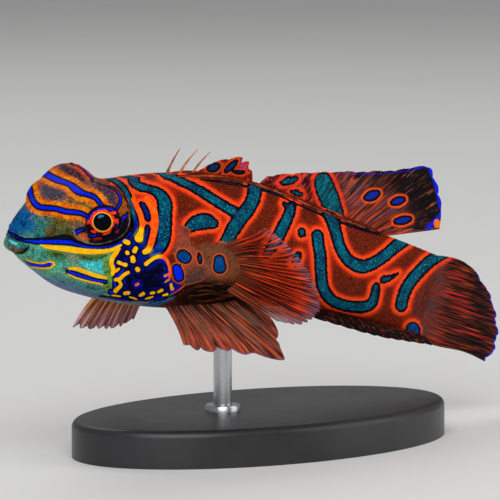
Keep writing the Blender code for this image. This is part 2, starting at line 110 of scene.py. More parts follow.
def smooth_row(table, station):
    """The row of a table at a station, by a smooth curve through its rows."""
    if station <= table[0][0]:
        return table[0][1:]
    if station >= table[-1][0]:
        return table[-1][1:]
    at = next(i for i, row in enumerate(table[1:]) if station <= row[0])
    low, high = table[at], table[at + 1]
    before, after = table[max(at - 1, 0)], table[min(at + 2, len(table) - 1)]
    span = high[0] - low[0]
    t = (station - low[0]) / span
    row = []
    for k in range(1, len(low)):
        start = (high[k] - before[k]) / (high[0] - before[0]) * span
        end = (after[k] - low[k]) / (after[0] - low[0]) * span
        a = 2 * t**3 - 3 * t**2 + 1
        b = t**3 - 2 * t**2 + t
        c = 3 * t**2 - 2 * t**3
        d = t**3 - t**2
        row.append(a * low[k] + b * start + c * high[k] + d * end)
    return tuple(row)


def directions(station):
    """Tailward, left and up for the fish at a station."""
    turn, drop, lean = (math.radians(v) for v in smooth_row(SPINE, station))
    tailward = Vector((math.cos(drop) * math.cos(turn), math.cos(drop) * math.sin(turn), -math.sin(drop)))
    level_left = Vector((math.sin(turn), -math.cos(turn), 0.0))
    level_up = level_left.cross(tailward)
    left = level_left * math.cos(lean) - level_up * math.sin(lean)
    up = level_up * math.cos(lean) + level_left * math.sin(lean)
    return tailward, left, up


def spine_points():
    """Points of the line at every SPINE_STEP, from the snout."""
    point = Vector(SNOUT)
    points = [point.copy()]
    for i in range(int(SPINE[-1][0] / SPINE_STEP)):
        point = point + directions((i + 0.5) * SPINE_STEP)[0] * SPINE_STEP
        points.append(point.copy())
    return points


LINE = spine_points()
LINE_PLACES = np.array(LINE)
LINE_STATIONS = np.arange(len(LINE)) * SPINE_STEP
LINE_DIRECTIONS = np.array([directions(station) for station in LINE_STATIONS])


def line_point(station):
    """A point of the line, in millimetres. Before the snout it runs straight on."""
    if station < 0:
        return LINE[0] + directions(0.0)[0] * station
    place = min(station / SPINE_STEP, len(LINE) - 1.001)
    low = int(place)
    return LINE[low].lerp(LINE[low + 1], place - low)


def in_fish(station, out, rise):
    """A point beside the line: out to the fish's left and up its back."""
    _, left, up = directions(station)
    return line_point(station) + left * out + up * rise


def along(station, tailward, out, rise):
    """A step from a point of the line, along the fish's own directions there."""
    back, left, up = directions(station)
    return back * tailward + left * out + up * rise


def body_point(station, angle):
    """A point of the skin. Angle is 0 on the back, 90 on the left side and 180 on the belly."""
    station = min(max(station, BODY_START), BODY_END)
    half_width, over, under = smooth_row(BODY, station)
    closing = (BODY_END - station) / TAIL_ROUNDING
    if closing < 1.0:
        half_width *= math.sqrt(max(1.0 - (1.0 - closing) ** 2, 0.0))
    side = math.sin(math.radians(angle))
    rise = math.cos(math.radians(angle))
    out = math.copysign(abs(side) ** SIDE_FULLNESS, side) * (1.0 - BACK_NARROWING * rise)
    height = over if rise > 0 else under
    return in_fish(station, half_width * out, height * rise)


def back_point(station, lift=0.0):
    return in_fish(station, 0.0, smooth_row(BODY, station)[1] + lift)


def belly_point(station, lift=0.0):
    return in_fish(station, 0.0, -smooth_row(BODY, station)[2] + lift)


def in_fish_places(points):
    """Station, out and rise of many points, their places with the right side folded over, and left."""
    nearest = np.empty(len(points), int)
    for start in range(0, len(points), POINTS_AT_ONCE):
        some = slice(start, start + POINTS_AT_ONCE)
        gaps = ((points[some, None, :] - LINE_PLACES[None]) ** 2).sum(axis=2)
        nearest[some] = gaps.argmin(axis=1)
    offset = points - LINE_PLACES[nearest]
    tailward, left, up = (LINE_DIRECTIONS[nearest, k] for k in range(3))
    station = LINE_STATIONS[nearest] + (offset * tailward).sum(axis=1)
    out = (offset * left).sum(axis=1)
    rise = (offset * up).sum(axis=1)
    folded = points - left * (2 * np.minimum(out, 0.0))[:, None]
    return station, out, rise, folded, left


# Photograph to model


def photo_pixels(points):
    """The pixels of the photograph that show many points."""
    offset = points - np.array(VIEW_EYE)
    depth = -(offset @ np.array(VIEW_BACK))
    across = FRAME_PIXELS / 2 + FOCAL_PIXELS * (offset @ np.array(VIEW_RIGHT)) / depth
    down = FRAME_PIXELS / 2 - FOCAL_PIXELS * (offset @ np.array(VIEW_UP)) / depth
    return np.stack((across, down), axis=1)


def on_surface(tree, across, down):
    """The place of a surface that a pixel shows, or the nearest one where the pixel just misses it."""
    ray = -VIEW_BACK
    ray = ray + VIEW_RIGHT * ((across - FRAME_PIXELS / 2) / FOCAL_PIXELS)
    ray = (ray - VIEW_UP * ((down - FRAME_PIXELS / 2) / FOCAL_PIXELS)).normalized()
    hit = tree.ray_cast(VIEW_EYE, ray)[0]
    if hit is not None:
        return np.array(hit)
    near = []
    for step in range(-MISS_SEARCH, MISS_SEARCH + 1):
        place, _, _, gap = tree.find_nearest(VIEW_EYE + ray * (VIEW_DISTANCE + step))
        near.append((gap, step, place))
    return np.array(min(near)[2])


def smooth_path(rows):
    """A finer row of points through a stroke's own."""
    if len(rows) < 3:
        return [tuple(row) for row in rows]
    table = [(float(i), *row) for i, row in enumerate(rows)]
    return [smooth_row(table, i / PATH_SPLITS) for i in range((len(rows) - 1) * PATH_SPLITS + 1)]


def smooth_least(a, b, softness):
    """The lesser of two distances, rounded where they are alike."""
    share = np.clip(0.5 + 0.5 * (b - a) / softness, 0.0, 1.0)
    return b * (1 - share) + a * share - softness * share * (1 - share)


def span_distance(points, start, end):
    """From each point to a straight span, and how far along it the nearest place lies, from 0 to 1."""
    step = end - start
    share = np.clip(((points - start) @ step) / max(step @ step, TINY), 0.0, 1.0)
    return np.linalg.norm(points - start - share[:, None] * step, axis=1), share


def path_distance(points, places, widths):
    """From each point to the edge of a row of places with half widths, below zero inside."""
    nearest = np.full(len(points), FAR)
    for start, end, width, next_width in zip(places, places[1:], widths, widths[1:]):
        gap, share = span_distance(points, start, end)
        nearest = np.minimum(nearest, gap - width - (next_width - width) * share)
    return nearest


def stroke_distances(points, strokes, place_of):
    """Millimetres from each point to the edge of each stroke in turn, below zero inside."""
    for stroke in strokes:
        path = smooth_path(stroke)
        places = [place_of(across, down) for across, down, _ in path]
        yield path_distance(points, places, [width / PIXELS_PER_MM for _, _, width in path])


def flat_place(across, down):
    """A place on the photograph, in millimetres."""
    return np.array((across, down)) / PIXELS_PER_MM


def drawn_distance(pixels, strokes):
    """From each pixel to the nearest of the strokes drawn on the photograph, in millimetres."""
    return np.min(list(stroke_distances(pixels / PIXELS_PER_MM, strokes, flat_place)), axis=0)


def outline_distance(pixels, corners):
    """Pixels from each pixel to a closed outline drawn on the photograph, below zero inside."""
    ring = np.array(corners, float)
    nearest = np.full(len(pixels), FAR * 10)
    inside = np.zeros(len(pixels), bool)
    for start, end in zip(ring, np.roll(ring, -1, axis=0)):
        step = end - start
        nearest = np.minimum(nearest, span_distance(pixels, start, end)[0])
        crosses = (start[1] > pixels[:, 1]) != (end[1] > pixels[:, 1])
        rise = step[1] if abs(step[1]) > TINY else TINY
        inside ^= crosses & (pixels[:, 0] < start[0] + step[0] * (pixels[:, 1] - start[1]) / rise)
    return np.where(inside, -nearest, nearest)


def ease(value, start, end):
    """0 before start and 1 past end, smoothly. start may be the greater."""
    share = np.clip((value - start) / (end - start), 0.0, 1.0)
    return share * share * (3 - 2 * share)


# Meshes


def link(name, content):
    """A new object in the scene that holds a mesh, a light or a camera."""
    made = bpy.data.objects.new(name, content)
    bpy.context.scene.collection.objects.link(made)
    return made


def settled(made):
    """Puts what an object's modifiers make in its own mesh."""
    graph = bpy.context.evaluated_depsgraph_get()
    mesh = bpy.data.meshes.new_from_object(made.evaluated_get(graph))
    made.modifiers.clear()
    made.data = mesh
    return made


@contextmanager
def edited(mesh):
    """A mesh as a bmesh, written back at the end."""
    shape = bmesh.new()
    shape.from_mesh(mesh)
    yield shape
    shape.to_mesh(mesh)
    shape.free()


def new_mesh(name, shape):
    """The mesh of a bmesh that is done with."""
    mesh = bpy.data.meshes.new(name)
    shape.to_mesh(mesh)
    shape.free()
    return mesh


def face_outward(shape):
    shape.normal_update()
    bmesh.ops.recalc_face_normals(shape, faces=shape.faces)
    if shape.calc_volume(signed=True) < 0:
        bmesh.ops.reverse_faces(shape, faces=shape.faces)


def to_object(name, shape):
    """An object in metres from a bmesh in millimetres."""
    bmesh.ops.scale(shape, vec=(MM, MM, MM), verts=shape.verts)
    mesh = new_mesh(name, shape)
    mesh.shade_smooth()
    return link(name, mesh)


def read_triples(rows, name):
    found = np.empty(len(rows) * 3, np.float32)
    rows.foreach_get(name, found)
    return found.reshape(-1, 3).astype(float)


def read_places(mesh):
    return read_triples(mesh.vertices, "co")


def write_places(mesh, places):
    mesh.vertices.foreach_set("co", places.astype(np.float32).ravel())
    mesh.update()


def keep_number(mesh, name, values):
    """Stores one number for each vertex, for the material to read."""
    layer = mesh.attributes.new(name, "FLOAT", "POINT")
    layer.data.foreach_set("value", np.asarray(values, np.float32))


def keep_colour(mesh, name, colours):
    """Stores one colour for each vertex, for the material to read."""
    layer = mesh.attributes.new(name, "FLOAT_COLOR", "POINT")
    full = np.concatenate((colours, np.ones((len(colours), 1))), axis=1)
    layer.data.foreach_set("color", full.astype(np.float32).ravel())


def add_ball(shape, place, radii, turn=None):
    """Adds a ball or an egg of three radii."""
    made = bmesh.ops.create_uvsphere(shape, u_segments=48, v_segments=32, radius=1.0)["verts"]
    bmesh.ops.scale(shape, vec=radii, verts=made)
    if turn is not None:
        bmesh.ops.transform(shape, matrix=turn, verts=made)
    bmesh.ops.translate(shape, vec=place, verts=made)


def fish_turn(station):
    """The turn from X, Y, Z to tailward, left and up."""
    return Matrix(directions(station)).transposed().to_4x4()


def add_strand(shape, points, radii, sides=12):
    """Adds a round strand through points, closed at both ends."""
    rings = []
    for i, (point, radius) in enumerate(zip(points, radii)):
        ahead = points[min(i + 1, len(points) - 1)] - points[max(i - 1, 0)]
        ring = bmesh.ops.create_circle(shape, segments=sides, radius=radius)["verts"]
        turn = ahead.to_track_quat("Z", "Y").to_matrix().to_4x4()
        turn.translation = point
        bmesh.ops.transform(shape, matrix=turn, verts=ring)
        rings.append(ring)
    edges = []
    for ring in rings:
        own = set(ring)
        edges.append([e for e in {e for v in ring for e in v.link_edges} if set(e.verts) <= own])
    for near, far in zip(edges, edges[1:]):
        bmesh.ops.bridge_loops(shape, edges=near + far)
    for ring in (rings[0], rings[-1]):
        bmesh.ops.contextual_create(shape, geom=ring)


# Colours and materials


def tone(red, green, blue):
    """A colour as a painter's chart gives it, 0 to 255, turned to light."""
    values = []
    for part in (red, green, blue):
        part /= 255
        values.append(part / 12.92 if part <= 0.04045 else ((part + 0.055) / 1.055) ** 2.4)
    return tuple(values)


# The colour sockets of a mix node, by number, because its number and vector sockets have the same names.
COLOUR_A = 6
COLOUR_B = 7
MIXED_COLOUR = 2


class Paint:
    """A material, with its nodes made one by one."""

    def __init__(self, name):
        self.material = bpy.data.materials.new(name)
        self.material.use_nodes = True
        self.tree = self.material.node_tree
        self.shader = self.tree.nodes["Principled BSDF"]

    def join(self, source, socket):
        """Gives a socket another node's output, a number or a colour."""
        if isinstance(source, bpy.types.NodeSocket):
            self.tree.links.new(source, socket)
        elif isinstance(source, tuple) and socket.type == "RGBA":
            socket.default_value = (*source[:3], 1.0)
        else:
            socket.default_value = source

    def stored(self, name, output):
        node = self.tree.nodes.new("ShaderNodeAttribute")
        node.attribute_name = name
        return node.outputs[output]

    def number(self, name):
        return self.stored(name, "Fac")

    def colour(self, name):
        return self.stored(name, "Color")

    def math(self, operation, first, second=0.0):
        node = self.tree.nodes.new("ShaderNodeMath")
        node.operation = operation
        self.join(first, node.inputs[0])
        self.join(second, node.inputs[1])
        return node.outputs[0]

    def plus(self, first, second):
        return self.math("ADD", first, second)

    def times(self, first, second):
        return self.math("MULTIPLY", first, second)

    def slope(self, value, start, end, low=0.0, high=1.0):
        """low before start and high past end, smoothly. start may be the greater."""
        node = self.tree.nodes.new("ShaderNodeMapRange")
        node.interpolation_type = "SMOOTHSTEP"
        self.join(value, node.inputs["Value"])
        for label, number in (("From Min", start), ("From Max", end), ("To Min", low), ("To Max", high)):
            node.inputs[label].default_value = number
        return node.outputs["Result"]

    def mix(self, share, first, second, blend="MIX"):
        node = self.tree.nodes.new("ShaderNodeMix")
        node.data_type = "RGBA"
        node.blend_type = blend
        self.join(share, node.inputs["Factor"])
        self.join(first, node.inputs[COLOUR_A])
        self.join(second, node.inputs[COLOUR_B])
        return node.outputs[MIXED_COLOUR]

    def lay(self, under, over, value, start, end, share=1.0):
        """Lays one colour over another: not at all where value is before start, and by share past end."""
        return self.mix(self.slope(value, start, end, 0.0, share), under, over)

    def uneven(self, value, noise, amount):
        """A value pushed down and up by noise."""
        return self.plus(value, self.slope(noise, 0.3, 0.7, -amount, amount))

    def noise(self, size, detail=3.0, roughness=0.55, stretch=None, lift=0.0):
        """Clouds from 0 to 1 whose lumps are about size millimetres wide."""
        node = self.tree.nodes.new("ShaderNodeTexNoise")
        node.inputs["Scale"].default_value = 1.0 / (size * MM)
        node.inputs["Detail"].default_value = detail
        node.inputs["Roughness"].default_value = roughness
        mapping = self.tree.nodes.new("ShaderNodeMapping")
        mapping.inputs["Location"].default_value = (lift, lift, lift)
        if stretch:
            mapping.inputs["Scale"].default_value = stretch
        place = self.tree.nodes.new("ShaderNodeTexCoord").outputs["Object"]
        self.tree.links.new(place, mapping.inputs["Vector"])
        self.tree.links.new(mapping.outputs[0], node.inputs["Vector"])
        return node.outputs["Fac"]

    def speckled(self, colour, grain, dark, bright):
        """Darker and brighter specks of the same hue. dark and bright are the shares of each."""
        deep = self.mix(1.0, colour, (0.16, 0.16, 0.16), "MULTIPLY")
        light = self.mix(1.0, colour, (2.6, 2.6, 2.6), "MULTIPLY")
        colour = self.lay(colour, deep, grain, 0.47, 0.35, dark)
        return self.lay(colour, light, grain, 0.53, 0.66, bright)

    def bump(self, height, depth, strength=1.0):
        """Roughens the surface by a height from 0 to 1 that stands depth millimetres."""
        node = self.tree.nodes.new("ShaderNodeBump")
        node.inputs["Strength"].default_value = strength
        node.inputs["Distance"].default_value = depth * MM
        self.join(height, node.inputs["Height"])
        self.tree.links.new(node.outputs["Normal"], self.shader.inputs["Normal"])

    def finish(self, colour, roughness, **settings):
        """Joins the colour and roughness, and sets the rest on the shader itself."""
        self.join(colour, self.shader.inputs["Base Color"])
        self.join(roughness, self.shader.inputs["Roughness"])
        for name, value in settings.items():
            self.join(value, self.shader.inputs[name.replace("_", " ").title().replace("Ior", "IOR")])
        return self.material


# Markings of the body, each a row of across, down and half width. The half width takes in the dark outline.

BAR_BEHIND_EYE = (
    (94, 175.8, 2), (102, 177.3, 3), (110, 178.6, 3.6), (117, 182, 4), (122.6, 187.3, 4), (127, 193.8, 4.1),
    (129.4, 201, 4.1), (131.6, 208, 4.2), (134, 216, 4.2), (135.8, 223, 4.2), (136, 229.5, 4),
    (134, 235, 3.6),
)
BAR_ON_NAPE = (
    (134, 172, 8), (133.6, 177.5, 7), (134.6, 182.6, 5.6), (140.5, 186.6, 5), (150.9, 189.4, 4.8),
    (158.5, 193.2, 6), (163.2, 199, 7.3), (165, 206, 8), (164.6, 216, 7.8), (164.3, 227, 8),
    (163.3, 238, 7.8), (160.5, 246.5, 7), (155.5, 252.5, 5.5), (148.5, 256.5, 3.6),
)
BAR_FROM_SPINES = (
    (160, 172.5, 4), (165, 174.6, 5), (171.5, 176.6, 5), (179.7, 180.6, 5), (190.3, 185.8, 5.1),
    (201, 191.4, 5.6), (211.7, 198.3, 5.7), (222.3, 204.8, 5.8), (233, 211, 6),
)
BAR_TO_SHOULDER = (
    (254.8, 185, 7), (254.6, 192, 7.4), (252.4, 201, 7.6), (247, 210, 7.8), (240, 219, 7.9),
    (234, 228, 7.8), (228, 238.5, 7.2), (222, 250, 6.5), (216, 262, 5),
)
LINE_UNDER_DORSALS = (
    (200, 179.6, 1.3), (211, 180.8, 2.3), (222.3, 182, 2.8), (238.3, 184.6, 3.1), (248.5, 187.2, 3.1),
    (258, 188.6, 2.9), (268, 191.8, 2.7), (281, 196.4, 2.6), (294, 202.8, 2.5), (313.5, 211.2, 2.5),
    (327.8, 217.2, 2.5), (346, 224, 2.4), (365.5, 230.4, 2.1), (380, 234.4, 1.4),
)
KIDNEY = ((186.5, 230.5, 4), (191, 226, 6.5), (198, 222.5, 8.6), (206, 221.4, 8.4), (213.5, 223.6, 5.6))
BAR_OVER_FIN = (
    (283.5, 203, 2), (286, 205.6, 3), (289.6, 207, 4.6), (289.6, 212, 5.8), (287, 219, 6.2),
    (282.5, 228, 6.8), (276.6, 239.7, 6.8), (270, 249.5, 5.5), (265, 256, 3.5),
)
BAR_OVER_FIN_HORN = ((293, 203.6, 2.6), (292, 208, 4), (289.6, 213, 5))
FLANK_SPOT = ((301.6, 231.4, 4.2), (301.9, 233.6, 4.4))
FLANK_DROP = ((298.6, 254.5, 3.4), (296.6, 259, 4.6), (295, 263.2, 3.8))
HOOK = (
    (317.3, 235.5, 6.4), (318.6, 245, 6.5), (320.4, 257, 6.5), (321, 272, 6.5), (323, 287, 6.4),
    (331, 299.5, 6.2), (346, 305.8, 6.2), (362.7, 307, 6.2), (371.5, 303.5, 6), (375, 294, 5),
    (376, 287, 4.5),
)
CUP = (
    (327, 214, 5), (331.5, 219, 6.8), (334, 226, 6.8), (336.4, 234, 6.4), (339.8, 246, 6.3),
    (346, 257.5, 6.4), (355, 264.4, 7), (363, 266.6, 7.3), (373, 263.3, 6.8), (384.3, 256, 6.6),
    (392.6, 249, 6.6), (400, 243, 7), (407, 238, 7),
)
BAR_ON_TAIL = (
    (444, 253, 6.4), (438.5, 256, 6.5), (429.8, 261.4, 6.6), (421, 269.8, 6.6), (412.4, 279.4, 6.6),
    (406, 289, 6.6), (402.7, 298, 6.6), (401.3, 305.6, 6.6),
)
TAIL_FLECK = ((384, 279.3, 4.2), (388.6, 278.4, 3.7), (393, 276.4, 2.4), (398, 273.2, 1.3))
TAIL_SPOT = ((412.6, 328.8, 7), (413.6, 330.4, 7))
UPPER_ISLAND = ((141.8, 203.6, 2.8), (144.6, 208, 3.7), (147, 213.6, 3.9), (148, 218.6, 3.4))
LOWER_ISLAND = ((147.4, 227.5, 3.1), (147, 233, 3.5), (145.6, 239, 3.4), (144, 244.5, 4))
BARS = (
    BAR_BEHIND_EYE, BAR_ON_NAPE, BAR_FROM_SPINES, BAR_TO_SHOULDER, KIDNEY, BAR_OVER_FIN, BAR_OVER_FIN_HORN,
    FLANK_SPOT, FLANK_DROP, HOOK, CUP, BAR_ON_TAIL, TAIL_FLECK, UPPER_ISLAND, LOWER_ISLAND,
)
# Where the bars turn from teal to royal blue.
ROYAL = (
    ((134, 226, 4), (136, 236, 8), (147, 236, 5), (150, 257, 4)), ((143, 204, 3), (148, 220, 4)),
    ((159, 253, 1), (150, 257, 3)), ((177.4, 269, 4), (179, 277, 4)),
)

# Blue lines of the head. The two stripes cross the brow from one side to the other.
UPPER_STRIPE = (
    (42, 171.6, 3.6), (46.5, 174.2, 3.6), (55, 178.8, 3.5), (63.8, 182, 3), (69.4, 184.2, 2.9),
    (73.8, 187.6, 3.8), (79.2, 191.6, 3.8), (85.4, 193.9, 2.9), (92.3, 195.9, 2.7), (97, 199.4, 2.5),
    (100, 203.3, 2.4), (102.6, 206.4, 1.8),
)
LOWER_STRIPE = (
    (28.6, 184.6, 2.8), (29.8, 189, 2.9), (30.6, 194, 3), (32.5, 199.8, 3), (36.2, 204.8, 3.1),
    (41, 207.4, 3), (50, 208.1, 2.9), (57, 208.9, 2.9), (65.4, 211.4, 2.9), (75.4, 212.4, 2.8),
    (81.5, 213.5, 2.6), (86, 215.5, 2.2), (88.4, 217.4, 1.6),
)
STRIPE_NEAR_SIDE = 5
ORB_LINE = (
    (72, 164.6, 1.4), (77.6, 166, 1.7), (82, 168.4, 2), (86, 172.2, 2.1), (89.2, 176, 2), (92, 179.4, 1.5),
    (96.4, 182.2, 0.8), (103, 185, 0.8), (109.5, 186.8, 1.3), (114.5, 189.4, 1.8), (118.2, 193, 2),
    (120.4, 198, 2.1), (119.8, 203.6, 2), (117.2, 208.4, 1.9), (115, 210.6, 1.6),
)
ORB_LINE_NEAR_SIDE = 7
MOUTH_LINE = (
    (8.5, 233.3, 1.6), (12.5, 234.6, 1.8), (17, 237.4, 1.8), (24, 240.2, 1.9), (30, 241, 2.3),
    (40, 241.5, 3), (52, 241.6, 3), (62, 241.6, 3.1), (71.5, 242.4, 3.1), (79.2, 244.6, 2.9),
    (87, 246.7, 2.5), (94.6, 247.7, 2.2), (103, 247.2, 2.1), (113.8, 245.6, 2.2), (121, 242, 2.2),
    (126, 237.4, 2.2), (131, 232.8, 2.2),
)
JAW_DASH = (
    (26, 261, 1.6), (29.5, 264, 2.2), (35, 265.4, 2.4), (42, 265.6, 2.5), (48.5, 264.6, 2.5),
    (51.6, 264, 2.5),
)
CHEEK_DASH = (
    (68.4, 271.5, 2.2), (76.3, 274.4, 2.5), (86.7, 277.6, 2.5), (95.3, 280.4, 2.4), (105.4, 281.8, 2.1),
)
LID_MARK = ((75.4, 233.2, 2.4), (79, 230.8, 2.4), (84, 229.2, 1.8))
UNDER_EYE_MARK = ((89.6, 236, 1.8), (94.6, 235.6, 1.9), (100.6, 234.4, 1.4))
BEHIND_EYE_MARK = ((128.4, 212.4, 1), (126.4, 215.8, 2), (123.4, 218, 2.2), (121.6, 221.4, 1.6))
CHIN_LINE = ((100, 296.4, 1), (108.3, 297.6, 1.5), (121.3, 300, 1.8), (130, 300.4, 1.4))
GILL_FRONT_VEIN = ((117, 259, 1.6), (115.8, 263.4, 1.8), (114.4, 267.4, 2))
GILL_VEIN = ((124, 268.8, 2), (121.2, 272.2, 2.2), (115.6, 277.2, 2.2))
GILL_DOT = ((114.8, 283.2, 2.4), (114.9, 286, 2.4))
GILL_FLECKS = (
    ((164.4, 266, 1.8), (164.7, 270, 2)), ((124.3, 279.6, 2), (124.8, 283, 2)),
    ((110.6, 291.8, 2.8), (112, 293, 2.4)), ((163.4, 282, 1.7), (162.4, 285, 1.7)),
)
BELLY_LINE = (
    (210.5, 306.3, 1.4), (222.3, 304.8, 2.4), (233, 303.6, 2.6), (241.7, 301, 2.2), (245.4, 299.2, 1.2),
)
FOLDED_LINES = (
    MOUTH_LINE, JAW_DASH, CHEEK_DASH, LID_MARK, UNDER_EYE_MARK, BEHIND_EYE_MARK, CHIN_LINE, GILL_FRONT_VEIN,
    GILL_VEIN, GILL_DOT, BELLY_LINE,
) + GILL_FLECKS
BROW_STRIPES = (UPPER_STRIPE, LOWER_STRIPE)

# Yellow strokes of the head and the gill cover.
MOUTH_BAND = (
    (40, 244.8, 0.5), (47, 246.6, 1.9), (58, 248, 2.5), (70, 249.4, 2.8), (79, 250.6, 2.9),
    (87, 251.4, 2.8), (100, 251.6, 2.4), (110, 250.2, 2), (116, 248, 1.8), (121, 245, 1.2),
)
GILL_FRONT = (
    (118.6, 248.6, 2), (116.4, 252.4, 2.3), (113.4, 256.4, 2.3), (111.5, 261, 2.1), (111.9, 265, 2),
    (113.2, 269, 2.1), (112.6, 274, 1.9),
)
GILL_TWIG = ((113.4, 271.6, 2.2), (116.4, 270.4, 1.8), (118.8, 268.8, 1.3))
GILL_BRANCH = (
    (128.4, 272.6, 1.7), (125.4, 274, 1.8), (122.4, 276.2, 1.8), (119.4, 279, 1.9), (115.3, 279.8, 1.6),
)
GILL_STEM = (
    (118.9, 279.6, 1.7), (120, 282.4, 1.6), (121, 285.2, 1.7), (118.4, 288, 1.9), (115.4, 291, 2.2),
)
JAW_DASH_TOP = (
    (25.6, 259.8, 0.7), (33, 262.3, 0.7), (41.6, 263.4, 0.7), (49.4, 261.8, 0.8), (53.8, 262.6, 1.1),
)
JAW_DASH_FOOT = ((30.3, 266.8, 0.6), (41.6, 268.2, 0.8), (50, 267.6, 0.9), (54.4, 264.6, 1.1))
CHEEK_DASH_TOP = (
    (69.3, 268.6, 1.2), (76, 268.8, 1.9), (83.2, 271.2, 2.1), (95.3, 275.4, 2.1), (105.9, 278, 1.5),
)
CHEEK_DASH_FOOT = ((67.8, 274.2, 0.7), (78, 278.4, 0.9), (91, 282, 0.9), (102.3, 284.2, 0.9))
NAPE_DROP = (
    (133.5, 199, 2.2), (136.6, 207, 2.5), (140.6, 215, 2.6), (142, 224, 2.5), (140.8, 232, 2.6),
    (138.9, 237.8, 4.4),
)
NAPE_HOOK = (
    (147, 199, 3.4), (152.6, 208, 3.7), (155, 218.6, 3.6), (154.8, 227, 3.4), (153, 236, 3.2),
    (151, 243, 3.1), (148.6, 249.4, 3), (144.9, 251.9, 2.7),
)
GILL_ARCH = (
    (146, 264, 2), (150.7, 260.3, 1.9), (155.8, 257.3, 1.8), (160, 256.4, 1.7), (164.3, 257.6, 1.8),
    (167.6, 261.6, 1.6), (169.4, 267, 1.4), (170, 272, 1.3), (169.8, 277, 1.3),
)
GILL_RIM = ((184, 286, 1.2), (178.6, 291, 1.2), (172.7, 294.2, 0.9), (167.6, 297, 0.6))
GILL_SPOTS = (
    ((125, 241.3, 2.3), (128.2, 242.7, 2.3)), ((135.7, 248.6, 2.3), (134.5, 251.2, 2.3)),
    ((127.2, 252.6, 2.1), (127.6, 253, 2.1)), ((132.6, 257.8, 2.4), (133.2, 260.4, 2.7)),
    ((118.6, 262.4, 1.9), (122, 263.9, 1.7), (125.6, 264.9, 2.1)),
    ((137.4, 269.2, 2.4), (137.8, 269.6, 2.4)), ((136.2, 285, 1.4), (138, 284, 1.4)),
    ((125, 293.4, 1.9), (128.4, 292.8, 1.9)), ((140, 295.6, 1.4), (143.2, 293.8, 1.9)),
    ((151.2, 293.3, 1.4), (154, 292.6, 1.4)), ((158.6, 291.8, 1.4), (162, 290.2, 1.5)),
    ((163.4, 295.4, 1), (167.2, 294.2, 1.1)), ((145.6, 298.9, 0.7), (149, 298, 1), (152.6, 296.8, 0.8)),
    ((129.8, 297.1, 0.7), (133.5, 298, 0.8), (137, 299.4, 0.6)),
    ((112, 295.4, 0.7), (116, 295.8, 0.9), (120.4, 296.3, 0.7)),
    ((171, 284.6, 1.4), (171.4, 287, 1.5), (172.2, 288.8, 2)), ((164.8, 276, 1.2), (168.4, 274.4, 1.3)),
    ((165.2, 282.2, 0.7), (169, 279.4, 1)),
)
GOLD = (
    MOUTH_BAND, GILL_FRONT, GILL_TWIG, GILL_BRANCH, GILL_STEM, JAW_DASH_TOP, JAW_DASH_FOOT, CHEEK_DASH_TOP,
    CHEEK_DASH_FOOT, NAPE_DROP, NAPE_HOOK, GILL_ARCH, GILL_RIM,
) + GILL_SPOTS
# Where those strokes turn from yellow to orange and red.
RED_GOLD = (
    ((133, 196, 6), (138, 210, 5), (142, 222, 3)),
    ((146, 196, 6), (154, 212, 6), (154, 232, 5), (151, 242, 3)),
    ((166, 258, 2), (170, 268, 3), (170, 276, 3)), ((184, 286, 3), (176, 292, 2)),
    ((137, 284, 1.5), (138, 284, 1.5)),
)

# Edge of the dark blue patch on the gill cover, as a ring of pixels.
GILL_PATCH = (
    (121.6, 243.5), (127, 238.8), (133, 236), (138, 242.4), (143, 245), (147, 252), (150, 257.5),
    (156, 259.6), (161, 258.6), (165.4, 260.6), (168, 266), (168.6, 273), (169, 279), (173, 281.6),
    (178.6, 284.4), (183, 286.4), (178, 292), (170, 296.4), (158, 300), (146, 301.6), (134, 301),
    (122, 299), (112, 296), (108, 292.5), (112.6, 288), (112.4, 281), (113.4, 272), (113.4, 264),
    (116.4, 255),
)

# Creases: cut into the skin, and painted nearly black as the shade that falls in them.
MOUTH_FOLD = (
    (15, 234.6, 0.5), (21, 238.2, 0.8), (30, 239, 0.9), (46, 238.6, 1.1), (54, 237.8, 1.7),
    (60, 237.4, 2.3), (66, 237, 2.4), (72, 238.8, 2.2), (78, 242, 1.6), (84.6, 244.4, 1), (92, 245.8, 0.9),
    (100, 245.9, 1), (109, 244.4, 1.1), (118, 241, 1.3), (124.6, 236.8, 1.4), (129, 230.8, 1.4),
    (131.4, 224.6, 1.2), (131, 217, 0.9), (129.4, 208, 0.7), (126, 200, 0.5), (119.6, 192.4, 0.4),
    (111.4, 185.6, 0.3),
)
LIP_CORNER = ((18, 253.4, 0.4), (22.4, 252.6, 0.9), (25.6, 250, 1.1), (28.6, 247.6, 0.6))
GILL_EDGE = ((150, 302, 0.4), (162, 299.6, 0.7), (172, 295.8, 0.8), (180, 291.4, 0.8), (186, 286.6, 0.6))
CREASES = (MOUTH_FOLD, LIP_CORNER, GILL_EDGE)
# The pale rim that rings the eye turret from below.
TURRET_RIM = (
    (73.6, 231.6, 0.9), (75.2, 235.6, 1), (79, 239.2, 1.1), (84.8, 242, 1.2), (92, 243.6, 1.2),
    (100, 243.8, 1.2), (109, 242, 1.2), (117, 238.8, 1.3), (123.4, 234.4, 1.4), (128, 228, 1.4),
    (129.6, 221, 1), (128.8, 215, 0.6),
)

# The loose flap behind the gill cover, as a ring of pixels.
GILL_FLAP = (
    (172, 221), (179.5, 224.3), (185, 226.6), (190.6, 229.8), (189.8, 237), (190.8, 244.8), (198, 250.6),
    (203.5, 256), (208, 265), (212, 275), (206.5, 278.9), (199.8, 282.2), (190.5, 284.8), (183.7, 285.6),
    (178, 284.4), (171, 280), (169, 262), (170, 240),
)
FLAP_SPOTS = (
    ((182.6, 255.6, 6.4), (185.6, 257.6, 6.4)), ((176.6, 268.4, 4.8), (178.2, 273, 5.6), (179, 277, 5.4)),
    ((198.6, 253.4, 1.6), (199.6, 258, 2.8), (200.3, 262.6, 2)),
)
SHOULDER_SPOT = (((219.2, 260, 5.6), (219.8, 267, 7)),)
